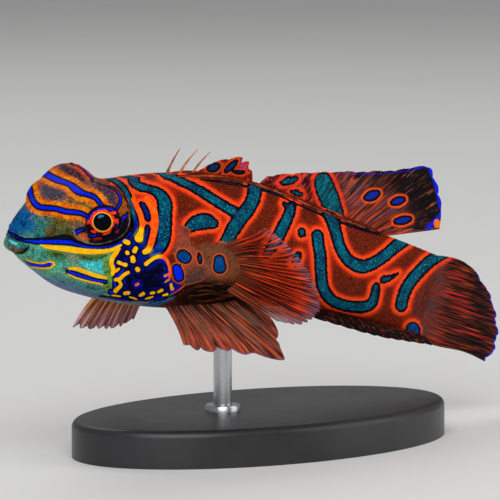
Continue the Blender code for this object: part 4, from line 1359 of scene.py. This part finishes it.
def make_eye(side, name, material):
    """An eyeball whose pupil stands a little proud. The right one is the left one's mirror image."""
    shape = bmesh.new()
    bmesh.ops.create_uvsphere(shape, u_segments=128, v_segments=112, radius=EYE_RADIUS)
    for vert in shape.verts:
        away = math.acos(max(-1.0, min(1.0, vert.co.z / EYE_RADIUS))) * EYE_RADIUS
        vert.co *= 1.0 + 0.09 / EYE_RADIUS * float(ease(away, 1.1, 0.7))
    turn = look_turn(1)
    turn.translation = eye_centre(1)
    bmesh.ops.transform(shape, matrix=turn, verts=shape.verts)
    places = np.array([v.co for v in shape.verts])
    pixels = photo_pixels(places)
    marks = {
        "pupil": (PUPIL_SPOT,),
        "iris": (IRIS_SPOT,) + IRIS_ARMS,
        "gaps": IRIS_GAPS,
        "blues": EYE_BLUES,
        "shine": EYE_PAINTED_GLINT,
    }
    if side < 0:
        _, out, _, _, left = in_fish_places(places)
        for vert, place in zip(shape.verts, places - left * (2 * out)[:, None]):
            vert.co = place
        bmesh.ops.reverse_faces(shape, faces=shape.faces)
    eye = to_object(name, shape)
    for label, strokes in marks.items():
        keep_number(eye.data, label, drawn_distance(pixels, strokes) * PIXELS_PER_MM)
    eye.data.materials.append(material)
    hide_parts(name.replace("ball", ""))
    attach(eye, "root")


def make_eyes():
    material = eye_paint()
    make_eye(1, "eyeball_left", material)
    make_eye(-1, "eyeball_right", material)


# Fins


def fin_sheet(
    name, rays, rows, root, tip, thickness, bow=None, notch=0.03, root_share=0.0, per_ray=8, forks=0.0, fine=0
):
    """A fin: a thin sheet from root(u) to tip(u) with a rounded ridge for each ray and a notched margin.

    thickness is (membrane, ray, root) in millimetres, and bow(u, v) moves a point off the straight ray. Past
    the share forks each ray splits in two, and fine lesser ridges lie between two rays.
    """
    membrane, ray, thick = thickness
    shape = bmesh.new()
    columns = per_ray * (rays - 1)
    bmesh.ops.create_grid(shape, x_segments=columns, y_segments=rows, size=1.0)
    fatness = {}
    marks = []
    for vert in shape.verts:
        u = (vert.co.x + 1) / 2
        v = (vert.co.y + 1) / 2
        phase = u * (rays - 1)
        near = abs(phase - round(phase)) * 2
        valley = min(near, 1.0)
        if forks and v > forks:
            split = min(1.0, (v - forks) / (1 - forks)) * 0.5
            near = min(abs(near - split), 1.0) * (1 + split)
        ridge = max(0.0, 1.0 - near * 1.9) ** 0.7
        if fine:
            lesser = phase * (fine + 1)
            ridge = max(ridge, 0.7 * max(0.0, 1.0 - abs(lesser - round(lesser)) * 3.2) * min(1.0, v * 3))
        uneven = 1.0 + 0.5 * math.sin(round(phase) * 2.4) + 0.3 * math.sin(u * 37.0)
        reach = v * (1.0 - notch * uneven * valley**1.5 * v)
        point = root(u).lerp(tip(u), reach)
        if bow:
            point = point + bow(u, v)
        vert.co = point
        thin = membrane + (ray - membrane) * ridge * (1.0 - 0.45 * v)
        if v < root_share:
            thin = thin + (thick - thin) * (1.0 - v / root_share) ** 1.5
        fade = min(1.0, (1.0 - v) / 0.2)
        fatness[vert.index] = thin * (0.4 + 0.6 * fade)
        marks.append((u, v, ridge))
    fin = link(name, new_mesh(name, shape))
    for label, values in zip(("across", "outward", "ridge"), zip(*marks)):
        keep_number(fin.data, label, values)
    widest = max(fatness.values())
    group = fin.vertex_groups.new(name="thickness")
    for index, value in fatness.items():
        group.add([index], value / widest, "REPLACE")
    step = fin.modifiers.new("thickness", "SOLIDIFY")
    step.thickness = widest
    step.offset = 0.0
    step.vertex_group = "thickness"
    step.thickness_vertex_group = 0.0
    settled(fin)
    fin.vertex_groups.clear()
    with edited(fin.data) as shape:
        face_outward(shape)
    fin.data.shade_smooth()
    return fin


def finish_fin(fin, material, *nodes):
    """Gives a fin its paint, turns it to metres and puts it in its CAD nodes' place."""
    write_places(fin.data, read_places(fin.data) * MM)
    fin.data.materials.append(material)
    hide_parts(*nodes)
    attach(fin, "root")


def keep_fin_marks(fin, **marks):
    """Stores, under each name, the distance to a few strokes as the photograph shows them on the fin."""
    pixels = photo_pixels(read_places(fin.data))
    for label, strokes in marks.items():
        keep_number(fin.data, label, drawn_distance(pixels, strokes))


class FinPaint(Paint):
    """Paint of a fin, laid along and between its rays."""

    def __init__(self, name):
        super().__init__(name)
        self.ridge = self.number("ridge")
        self.outward = self.number("outward")
        self.across = self.number("across")
        self.grain = self.noise(0.14, 3.0, 0.7)

    def along_rays(self, across, outward, lift=0.0, detail=3.0):
        """Noise drawn out along the rays."""
        place = self.tree.nodes.new("ShaderNodeCombineXYZ")
        self.join(self.times(self.across, across), place.inputs[0])
        self.join(self.times(self.outward, outward), place.inputs[1])
        place.inputs[2].default_value = lift
        node = self.tree.nodes.new("ShaderNodeTexNoise")
        node.inputs["Scale"].default_value = 1.0
        node.inputs["Detail"].default_value = detail
        self.tree.links.new(place.outputs[0], node.inputs["Vector"])
        return node.outputs["Fac"]

    def outward_tones(self, tones, turns):
        """Goes from the first tone at the root to the last at the tip, turning at each share in turns."""
        uneven = self.uneven(self.outward, self.along_rays(30, 3, 2.0), 0.12)
        colour = tones[0]
        for tone_next, turn in zip(tones[1:], turns):
            colour = self.lay(colour, tone_next, uneven, turn - 0.15, turn + 0.15)
        return colour

    def rays(self, web, ray, turns, streaks, dark, bright):
        """Membrane and ray tones, streaked: streaks is across, outward, and the dark and the bright share."""
        across, outward, dark_share, bright_share = streaks
        web, ray = (self.outward_tones(tones, turns) for tones in (web, ray))
        colour = self.lay(web, ray, self.ridge, 0.15, 0.75)
        colour = self.lay(colour, dark, self.along_rays(across, outward), 0.5, 0.6, dark_share)
        flash = self.slope(self.along_rays(across * 1.4, outward * 1.3, 9.0), 0.55, 0.64, 0.0, bright_share)
        return self.mix(flash, colour, bright)

    def bars(self, colour):
        """Teal bars in a navy outline and an orange red halo."""
        wobble = self.slope(self.along_rays(70, 3, 5.0), 0.3, 0.7, -0.07, 0.07)
        band = self.plus(self.number("bars"), wobble)
        colour = self.lay(colour, tone(240, 62, 28), band, 0.55, 0.15, 0.9)
        colour = self.lay(colour, tone(3, 3, 20), band, 0.05, -0.04)
        teal = self.lay(tone(0, 70, 98), tone(14, 142, 146), self.grain, 0.42, 0.66)
        teal = self.lay(teal, tone(2, 20, 34), self.along_rays(60, 3, 3.0), 0.46, 0.6, 0.75)
        return self.lay(colour, teal, band, -0.18, -0.28)

    def spots(self, colour, middle, ring):
        """Round spots in a black outline and an orange ring."""
        wobble = self.slope(self.grain, 0.2, 0.8, -0.05, 0.05)
        spot = self.plus(self.number("spots"), wobble)
        colour = self.lay(colour, ring, spot, 0.36, 0.06)
        colour = self.lay(colour, tone(3, 3, 16), spot, 0.06, 0.0)
        return self.lay(colour, middle, spot, -0.16, -0.28)

    def edge(self, colour, start, edge_tone):
        """A painted margin."""
        uneven = self.uneven(self.outward, self.grain, 0.01)
        return self.lay(colour, edge_tone, uneven, start, start + 0.012)

    def stretched(self, across, outward, lift, start, end):
        """1 in the streaks of the noise along the rays that pass end."""
        return self.slope(self.along_rays(across, outward, lift), start, end)

    def done(self, colour, **settings):
        relief = self.plus(self.times(self.ridge, 0.5), self.along_rays(60, 4, 1.0))
        self.bump(relief, 0.06, 0.8)
        return self.finish(colour, 0.5, specular_ior_level=0.05, **settings)


SPINE_RADIUS = 0.17
SPINE_FEET = (18.1, 19.6, 21.1)
SPINE_TIPS = ((19.2, 10.0), (21.3, 10.0), (22.8, 9.8))
FIRST_DORSAL = (20.8, 28.4)
FIRST_MARGIN = (
    (0.0, 21.6, 7.55), (0.15, 22.5, 8.2), (0.3, 23.4, 8.7), (0.5, 25.0, 9.2), (0.66, 26.75, 9.6),
    (0.72, 26.7, 9.1), (0.8, 27.5, 9.2), (0.87, 27.6, 8.6), (0.93, 28.1, 8.3), (1.0, 28.4, 7.5),
)
FIRST_SPOTS = (
    ((209.4, 168.8, 3), (213.6, 167.6, 4.8), (217, 166, 3.6)),
    ((233, 171.4, 1.4), (238.3, 172.4, 2.3), (243.6, 172.2, 1.8)),
    ((226, 171, 2.4), (231.5, 166, 3.8), (236.4, 161, 2)),
)
FIRST_BLUSH = (((241, 164.6, 1.6), (244, 166, 1.6)),)
SECOND_DORSAL = (28.9, 47.2)
SECOND_MARGIN = (
    (0.0, 30.2, 7.9), (0.12, 32.6, 8.5), (0.27, 35.7, 9.2), (0.42, 39.3, 10.0), (0.57, 43.7, 11.0),
    (0.7, 47.8, 12.2), (0.8, 51.4, 13.5), (0.86, 53.1, 12.3), (0.92, 54.3, 10.9), (0.97, 55.5, 9.2),
    (1.0, 55.8, 7.3),
)
SECOND_BARS = (
    (
        (323, 181, 9), (324.5, 186, 10), (328.4, 196, 10.4), (332, 205, 9.6), (335, 213, 8.6),
        (337.6, 222, 7.6),
    ),
    ((281.8, 183, 2.6), (288.8, 181, 4.4), (295.4, 179, 3.4)),
    ((291.4, 191.6, 1.8), (296, 192.8, 3.4), (300.8, 194.6, 2.6)),
)
SECOND_SPOTS = (
    ((367, 197.6, 3.8), (372, 195.6, 5.6), (377, 193.4, 3.8)),
    ((393, 202.6, 3.2), (398, 201, 4.8), (403, 199.4, 3.2)),
    ((396.6, 221.4, 3.4), (402.8, 220.3, 4.8), (409, 219, 3.4)),
)
SECOND_RIM = (
    (330, 171.2, 0), (343, 172, 0.3), (351, 173.4, 0), (372, 174.4, 0.2), (388, 173, 0), (404, 171.6, 0.2),
    (416, 168.8, 0.5), (427, 166.6, 1.1), (432.6, 174, 2.2), (436, 183.6, 2.2), (438.4, 194, 2.2),
    (440.8, 204.4, 2.2), (442, 212.4, 1.9), (437.6, 217.6, 1.6), (432, 224, 2), (427.6, 228, 2.2),
)
SECOND_CORNER = (((437, 222.4, 3.4), (437.4, 225, 3.4)),)
ANAL = (35.0, 57.1)
ANAL_MARGIN = (
    (0.0, 38.5, 0.2, -6.1), (0.3, 45.2, 0.5, -6.3), (0.6, 51.4, 0.9, -6.2), (1.0, 59.0, 1.2, -5.3),
)
CAUDAL_ROOT = 56.7
CAUDAL_ROOT_INSET = 0.15
CAUDAL_MARGIN = (
    (0.0, 61.9, 4.6), (0.05, 63.2, 4.35), (0.1, 64.2, 3.85), (0.2, 65.6, 3.1), (0.3, 67.1, 2.2),
    (0.42, 68.2, 1.05), (0.57, 69.4, -0.4), (0.73, 70.1, -2.0), (0.87, 70.1, -3.45), (1.0, 69.3, -4.8),
)
PECTORAL_MARGIN = (
    (0.0, 25.7, 8.0, 3.9), (0.12, 27.7, 8.8, 2.8), (0.25, 29.8, 9.3, 1.3), (0.4, 31.8, 9.8, -0.6),
    (0.56, 33.4, 10.0, -2.9), (0.68, 33.8, 10.0, -4.0), (0.8, 33.2, 9.9, -5.0), (0.9, 31.8, 9.7, -5.9),
    (1.0, 28.9, 9.4, -5.8),
)
PECTORAL_STATION = 22.8
PECTORAL_SWELL = 1.2
PECTORAL_ANGLES = (79.0, 117.0)
PECTORAL_BOW = 0.9
PELVIC_LEFT = (
    (0.0, 19.0, 7.0, -9.5), (0.16, 20.6, 7.4, -10.0), (0.32, 22.1, 7.8, -10.0), (0.48, 24.0, 8.0, -9.8),
    (0.71, 27.8, 8.0, -10.1), (0.84, 32.3, 8.0, -10.2), (0.89, 32.0, 7.8, -9.2), (0.93, 31.7, 7.6, -8.3),
    (0.97, 31.3, 7.3, -7.4), (1.0, 30.5, 7.0, -6.4),
)
PELVIC_RIGHT = (
    (0.0, 15.0, 9.5, -12.5), (0.2, 16.9, 9.5, -12.6), (0.4, 19.0, 9.5, -12.5), (0.62, 20.7, 9.5, -12.4),
    (0.82, 22.4, 9.5, -11.9), (1.0, 23.6, 9.5, -11.2),
)
PELVIC_ROOT_LEFT = (
    (0.0, 18.0, 156.0), (0.5, 20.2, 152.0), (0.8, 23.0, 150.0), (0.93, 25.6, 146.0), (1.0, 28.0, 139.0),
)
PELVIC_ROOT_RIGHT = ((0.0, 16.8, 146.0), (1.0, 22.6, 138.0))
PELVIC_BOW = 0.7


def back_root(start, end):
    """The line just under the skin of the back that a dorsal fin rises from."""
    return lambda u: back_point(start + (end - start) * u, -0.5)


def flat_margin(margin):
    """The margin of a fin that stands in the fish's middle plane."""

    def tip(u):
        station, rise = smooth_row(margin, u)
        return in_fish(station, 0.0, rise)

    return tip


def first_dorsal():
    def bow(u, v):
        return along(FIRST_DORSAL[0], 0, 0.12 * math.sin(9 * u) * v, 0)

    tip = flat_margin(FIRST_MARGIN)
    root = back_root(*FIRST_DORSAL)
    fin = fin_sheet("first_dorsal_fin", 6, 24, root, tip, (0.24, 0.42, 0.8), bow, 0.05, 0.2, 12)
    keep_fin_marks(fin, spots=FIRST_SPOTS, blush=FIRST_BLUSH)
    paint = FinPaint("first_dorsal_paint")
    red = (tone(104, 8, 2), tone(146, 18, 6))
    orange = (tone(146, 24, 6), tone(190, 38, 12))
    colour = paint.rays(red, orange, (0.5,), (14, 2.5, 0.7, 0.5), tone(70, 10, 12), tone(255, 100, 44))
    colour = paint.lay(colour, tone(176, 52, 112), paint.number("blush"), 0.3, -0.1)
    colour = paint.spots(colour, tone(4, 44, 90), tone(214, 66, 16))
    finish_fin(fin, paint.done(colour), "dorsal_fin_first")

    shape = bmesh.new()
    for foot, (tip_station, tip_rise) in zip(SPINE_FEET, SPINE_TIPS):
        base = smooth_row(BODY, foot)[1] - 0.1
        points = []
        radii = []
        for i in range(15):
            share = i / 14
            station = foot + (tip_station - foot) * share**1.4
            points.append(in_fish(station, 0.0, base + (tip_rise - base) * share))
            radii.append(SPINE_RADIUS * (1 - 0.75 * share))
        add_strand(shape, points, radii, 10)
    spines = to_object("dorsal_spines", shape)
    paint = Paint("spine_paint")
    streak = paint.noise(0.6, 3.0, 0.6)
    paint.bump(streak, 0.03)
    colour = paint.lay(tone(120, 56, 26), tone(206, 116, 50), streak, 0.35, 0.7)
    spines.data.materials.append(paint.finish(colour, 0.4, coat_weight=0.1))
    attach(spines, "root")


def second_dorsal():
    def bow(u, v):
        return along(SECOND_DORSAL[0] + 8, 0, 0.22 * math.sin(2 * math.pi * u * 8) * v * (1 - 0.6 * u), 0)

    tip = flat_margin(SECOND_MARGIN)
    root = back_root(*SECOND_DORSAL)
    fin = fin_sheet("second_dorsal_fin", 18, 46, root, tip, (0.24, 0.46, 0.9), bow, 0.02, 0.16, 10)
    keep_fin_marks(fin, spots=SECOND_SPOTS, bars=SECOND_BARS, blue_rim=(SECOND_RIM,), corner=SECOND_CORNER)
    pixels = photo_pixels(read_places(fin.data))
    keep_number(fin.data, "rearward", ease(pixels[:, 0], 330, 350))
    keep_number(fin.data, "shadow", ease(pixels[:, 0] - 0.9 * pixels[:, 1], 188, 236))
    paint = FinPaint("second_dorsal_paint")
    red = (tone(94, 14, 8), tone(90, 18, 20))
    pink = (tone(140, 28, 15), tone(124, 34, 36))
    front = paint.rays(red, pink, (0.5,), (50, 2.2, 0.9, 0.6), tone(18, 4, 14), tone(236, 88, 78))
    web = (tone(104, 34, 18), tone(70, 36, 34))
    ray = (tone(160, 62, 34), tone(124, 70, 60))
    back = paint.rays(web, ray, (0.5,), (96, 2.5, 0.95, 0.8), tone(8, 5, 8), tone(226, 84, 40))
    back = paint.lay(back, tone(112, 74, 96), paint.along_rays(56, 1.2, 40.0), 0.54, 0.64, 0.5)
    dark = paint.times(paint.number("shadow"), paint.slope(paint.along_rays(90, 5, 4.0), 0.66, 0.56))
    back = paint.mix(paint.times(dark, 0.96), back, tone(3, 3, 6))
    colour = paint.bars(paint.mix(paint.number("rearward"), front, back))
    blue = paint.lay(tone(4, 20, 130), tone(12, 62, 200), paint.grain, 0.4, 0.7)
    colour = paint.spots(colour, blue, tone(250, 84, 14))
    colour = paint.lay(colour, tone(16, 7, 8), paint.outward, 0.1, 0.04, 0.9)
    rim = paint.uneven(paint.number("blue_rim"), paint.grain, 0.12)
    colour = paint.lay(colour, tone(6, 30, 226), rim, 0.04, -0.05)
    colour = paint.lay(colour, tone(250, 116, 14), paint.number("corner"), 0.04, -0.06)
    finish_fin(fin, paint.done(colour), "dorsal_fin_second")


def anal():
    start, end = ANAL

    def root(u):
        return belly_point(start + (end - start) * u, 0.5)

    def tip(u):
        return in_fish(*smooth_row(ANAL_MARGIN, u))

    fin = fin_sheet("anal_fin_sheet", 12, 14, root, tip, (0.26, 0.44, 0.7), None, 0.05, 0.2)
    paint = FinPaint("anal_fin_paint")
    web = (tone(44, 16, 10), tone(10, 6, 10))
    ray = (tone(74, 26, 14), tone(24, 12, 12))
    colour = paint.rays(web, ray, (0.45,), (40, 3, 0.9, 0.6), tone(4, 3, 6), tone(150, 56, 24))
    finish_fin(fin, paint.done(colour), "anal_fin")


def caudal():
    over, under = smooth_row(BODY, CAUDAL_ROOT)[1:]

    def root(u):
        high = over - CAUDAL_ROOT_INSET
        low = -under + CAUDAL_ROOT_INSET
        return in_fish(CAUDAL_ROOT, 0.0, high + (low - high) * u)

    def bow(u, v):
        lift = 0.35 * math.sin(math.pi * v) * (1 - u) ** 6
        lift -= (0.14 * math.sin(math.pi * v) + 0.3 * math.sin(2 * math.pi * v)) * u**6
        return along(CAUDAL_ROOT, 0, 0.16 * math.sin(2 * math.pi * u * 5) * v * v, lift)

    tip = flat_margin(CAUDAL_MARGIN)
    fin = fin_sheet("tail_fin", 12, 50, root, tip, (0.26, 0.5, 1.0), bow, 0.014, 0.4, 12, forks=0.4, fine=1)
    keep_fin_marks(fin, bars=(BAR_ON_TAIL,), spots=(TAIL_SPOT,))
    paint = FinPaint("tail_fin_paint")
    web = (tone(84, 34, 28), tone(40, 16, 15), tone(8, 5, 8))
    ray = (tone(104, 42, 32), tone(92, 32, 20), tone(44, 18, 15))
    colour = paint.rays(web, ray, (0.24, 0.6), (56, 1.8, 0.95, 0.7), tone(4, 2, 5), tone(196, 70, 28))
    root_tone = paint.lay(tone(106, 42, 30), tone(82, 46, 50), paint.along_rays(6, 3, 60.0), 0.4, 0.62)
    root_tone = paint.speckled(root_tone, paint.grain, 0.8, 0.8)
    colour = paint.lay(root_tone, colour, paint.outward, 0.06, 0.34)
    streak = paint.slope(paint.along_rays(48, 0.9, 20.0, 1.0), 0.64, 0.69)
    streak = paint.times(streak, paint.slope(paint.outward, 0.12, 0.24))
    colour = paint.mix(paint.times(streak, paint.slope(paint.outward, 0.94, 0.76)), colour, tone(206, 36, 44))
    colour = paint.bars(colour)
    colour = paint.spots(colour, tone(0, 66, 130), tone(226, 72, 24))
    colour = paint.edge(colour, 0.978, tone(8, 42, 220))
    finish_fin(fin, paint.done(colour), "caudal_fin")


def pectoral(side, name, node, material):
    high, low = PECTORAL_ANGLES

    def root(u):
        station = PECTORAL_STATION + PECTORAL_SWELL * math.sin(math.pi * u)
        return body_point(station, (high + (low - high) * u) * side) - along(station, 0, 0.3 * side, 0)

    def tip(u):
        station, out, rise = smooth_row(PECTORAL_MARGIN, u)
        return in_fish(station, out * side, rise)

    def bow(u, v):
        out = PECTORAL_BOW * math.sin(math.pi * v) + 0.06 * math.sin(40 * u) * v
        return along(PECTORAL_STATION, 0, out * side, 0)

    fin = fin_sheet(name, 27, 42, root, tip, (0.2, 0.4, 1.5), bow, 0.05, 0.32, forks=0.65)
    finish_fin(fin, material, node)


def pectoral_paint():
    """Orange red rays in a smoky membrane that is clear between the upper rays and near the tips. The lowest
    rays turn from brown to a whitish painted sheen near their tips.
    """
    paint = FinPaint("pectoral_fin_paint")
    web = (tone(90, 46, 28), tone(50, 18, 12), tone(48, 34, 54))
    ray = (tone(104, 54, 32), tone(190, 46, 14), tone(150, 66, 54))
    colour = paint.rays(web, ray, (0.2, 0.85), (44, 1.3, 0.95, 0.75), tone(22, 8, 7), tone(255, 78, 24))
    tips = paint.times(paint.slope(paint.outward, 0.8, 1.0), paint.stretched(90, 2, 7.0, 0.4, 0.6))
    colour = paint.mix(paint.times(tips, 0.6), colour, tone(150, 120, 150))
    # painted highlight: the lowest rays brown, turning to a whitish painted sheen near their tips
    low = paint.slope(paint.across, 0.84, 0.93)
    pale = paint.lay(tone(120, 58, 36), tone(170, 136, 140), paint.outward, 0.6, 0.95)
    colour = paint.mix(paint.times(low, paint.slope(paint.ridge, 0.2, 0.6, 0.2, 0.9)), colour, pale)
    web_cover = paint.slope(paint.across, 0.3, 0.74, 0.08, 0.72)
    web_cover = paint.math("MAXIMUM", web_cover, paint.slope(paint.outward, 0.44, 0.26))
    solid = paint.math("MAXIMUM", web_cover, paint.slope(paint.ridge, 0.2, 0.6))
    return paint.done(colour, alpha=solid)


def pelvic(side, name, node, foot, margin, rays, fine, material):
    start = foot[0][1]

    def root(u):
        station, angle = smooth_row(foot, u)
        return body_point(station, angle * side) + along(station, 0, -0.5 * side, 0.8)

    def tip(u):
        station, out, rise = smooth_row(margin, u)
        return in_fish(station, out * side, rise)

    def bow(u, v):
        out = PELVIC_BOW * math.sin(math.pi * v) + 0.12 * math.sin(24 * u) * v
        return along(start, 0, out * side, 0)

    per_ray = 120 // (rays - 1)
    fin = fin_sheet(name, rays, 40, root, tip, (0.24, 0.48, 1.0), bow, 0.06, 0.22, per_ray, fine=fine)
    finish_fin(fin, material, node)


def pelvic_paint(name, web, ray, dark, bright):
    paint = FinPaint(name)
    colour = paint.rays(web, ray, (0.25, 0.7), (56, 1.4, 0.9, 0.7), dark, bright)
    colour = paint.lay(colour, tone(128, 104, 92), paint.along_rays(40, 1.2, 30.0), 0.54, 0.62, 0.5)
    colour = paint.edge(colour, 0.978, tone(150, 96, 132))
    return paint.done(colour)


def make_fins():
    first_dorsal()
    second_dorsal()
    anal()
    caudal()
    material = pectoral_paint()
    pectoral(1, "pectoral_left", "pectoral_fin_left", material)
    pectoral(-1, "pectoral_right", "pectoral_fin_right", material)
    web = (tone(46, 24, 18), tone(88, 44, 32), tone(120, 54, 40))
    ray = (tone(86, 50, 36), tone(150, 68, 46), tone(180, 76, 50))
    material = pelvic_paint("pelvic_paint_left", web, ray, tone(44, 18, 12), tone(232, 108, 68))
    pelvic(1, "pelvic_left", "pelvic_fin_left", PELVIC_ROOT_LEFT, PELVIC_LEFT, 7, 5, material)
    web = (tone(150, 62, 26), tone(170, 82, 50), tone(190, 118, 130))
    ray = (tone(240, 118, 56), tone(255, 172, 104), tone(255, 196, 190))
    material = pelvic_paint("pelvic_paint_right", web, ray, tone(92, 40, 30), tone(255, 180, 124))
    pelvic(-1, "pelvic_right", "pelvic_fin_right", PELVIC_ROOT_RIGHT, PELVIC_RIGHT, 9, 0, material)


# Stand

BASE_LENGTH = 46.0
BASE_WIDTH = 27.0
BASE_HEIGHT = 4.0
ROD_RADIUS = 1.0
ROD_STATION = 28.5


def make_stand():
    shape = bmesh.new()
    half = BASE_LENGTH / 2
    bmesh.ops.create_cone(shape, cap_ends=True, segments=160, radius1=half, radius2=half, depth=BASE_HEIGHT)
    bmesh.ops.scale(shape, vec=(1, BASE_WIDTH / BASE_LENGTH, 1), verts=shape.verts)
    bmesh.ops.translate(shape, vec=(0, 0, BASE_HEIGHT / 2), verts=shape.verts)
    rim = [e for e in shape.edges if all(v.co.z > BASE_HEIGHT - 0.01 for v in e.verts)]
    bmesh.ops.bevel(shape, geom=rim, offset=0.8, segments=6, profile=0.5, affect="EDGES", material=-1)
    base = to_object("display_base", shape)
    base.data.set_sharp_from_angle(angle=math.radians(50))
    paint = Paint("satin_black")
    speckle = paint.noise(0.35, 3.0, 0.6)
    cloud = paint.noise(9.0, 3.0, 0.5)
    colour = paint.lay(tone(26, 26, 28), tone(40, 40, 43), cloud, 0.3, 0.7)
    paint.bump(speckle, 0.012)
    base.data.materials.append(paint.finish(colour, paint.slope(cloud, 0.2, 0.8, 0.3, 0.42)))
    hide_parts("stand_base")
    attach(base, "root")

    under = belly_point(ROD_STATION)
    foot = Vector((under.x, under.y, BASE_HEIGHT - 0.2))
    shape = bmesh.new()
    add_strand(shape, [foot, under + Vector((0, 0, 1.2))], [ROD_RADIUS] * 2, 48)
    collar = [foot + Vector((0, 0, height)) for height in (0.0, 0.7, 0.85, 0.9)]
    add_strand(shape, collar, [ROD_RADIUS * share for share in (1.9, 1.9, 1.8, 1.6)], 48)
    face_outward(shape)
    rod = to_object("display_rod", shape)
    rod.data.set_sharp_from_angle(angle=math.radians(40))
    paint = Paint("brushed_rod")
    brushed = paint.noise(0.25, 3.0, 0.6, stretch=(1.0, 1.0, 0.06))
    paint.bump(brushed, 0.002)
    colour = paint.lay(tone(176, 178, 182), tone(200, 201, 204), brushed, 0.3, 0.7)
    rod.data.materials.append(paint.finish(colour, paint.slope(brushed, 0.2, 0.8, 0.22, 0.34), metallic=1.0))
    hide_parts("stand_rod")
    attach(rod, "root")


# Floor, light and camera

FLOOR_HALF = 3.0


def make_floor():
    shape = bmesh.new()
    bmesh.ops.create_grid(shape, x_segments=1, y_segments=1, size=FLOOR_HALF / MM)
    floor = to_object("floor", shape)
    paint = Paint("pale_floor")
    cloud = paint.noise(60.0, 3.0, 0.5)
    colour = paint.lay(tone(243, 242, 240), tone(245, 244, 242), cloud, 0.3, 0.7)
    floor.data.materials.append(paint.finish(colour, 0.6))


def add_light(name, place, size, energy):
    """A soft square light that looks at the fish."""
    light = bpy.data.lights.new(name, "AREA")
    light.shape = "SQUARE"
    light.size = size
    light.energy = energy
    made = link(name, light)
    made.location = place
    made.rotation_euler = (VIEW_TARGET * MM - Vector(place)).to_track_quat("-Z", "Y").to_euler()


def make_light():
    add_light("key", (-0.42, -0.55, 0.5), 0.7, 4.8)
    add_light("fill", (0.5, -0.45, 0.3), 0.6, 1.4)
    add_light("back", (0.15, 0.5, 0.7), 0.5, 1.3)
    world = bpy.data.worlds.new("pale_room")
    world.use_nodes = True
    background = world.node_tree.nodes["Background"]
    background.inputs["Color"].default_value = (0.86, 0.87, 0.88, 1.0)
    background.inputs["Strength"].default_value = 0.3
    bpy.context.scene.world = world


def make_camera():
    camera = link("camera", bpy.data.cameras.new("camera"))
    camera.data.lens = LENS
    camera.data.sensor_width = SENSOR
    camera.data.clip_start = 0.01
    camera.location = VIEW_EYE * MM
    camera.rotation_mode = "QUATERNION"
    camera.rotation_quaternion = (-VIEW_BACK).to_track_quat("-Z", "Y")
    bpy.context.scene.camera = camera
    bpy.context.scene.view_settings.view_transform = "Standard"


make_skin()
make_eyes()
make_fins()
make_stand()
make_floor()
make_light()
make_camera()
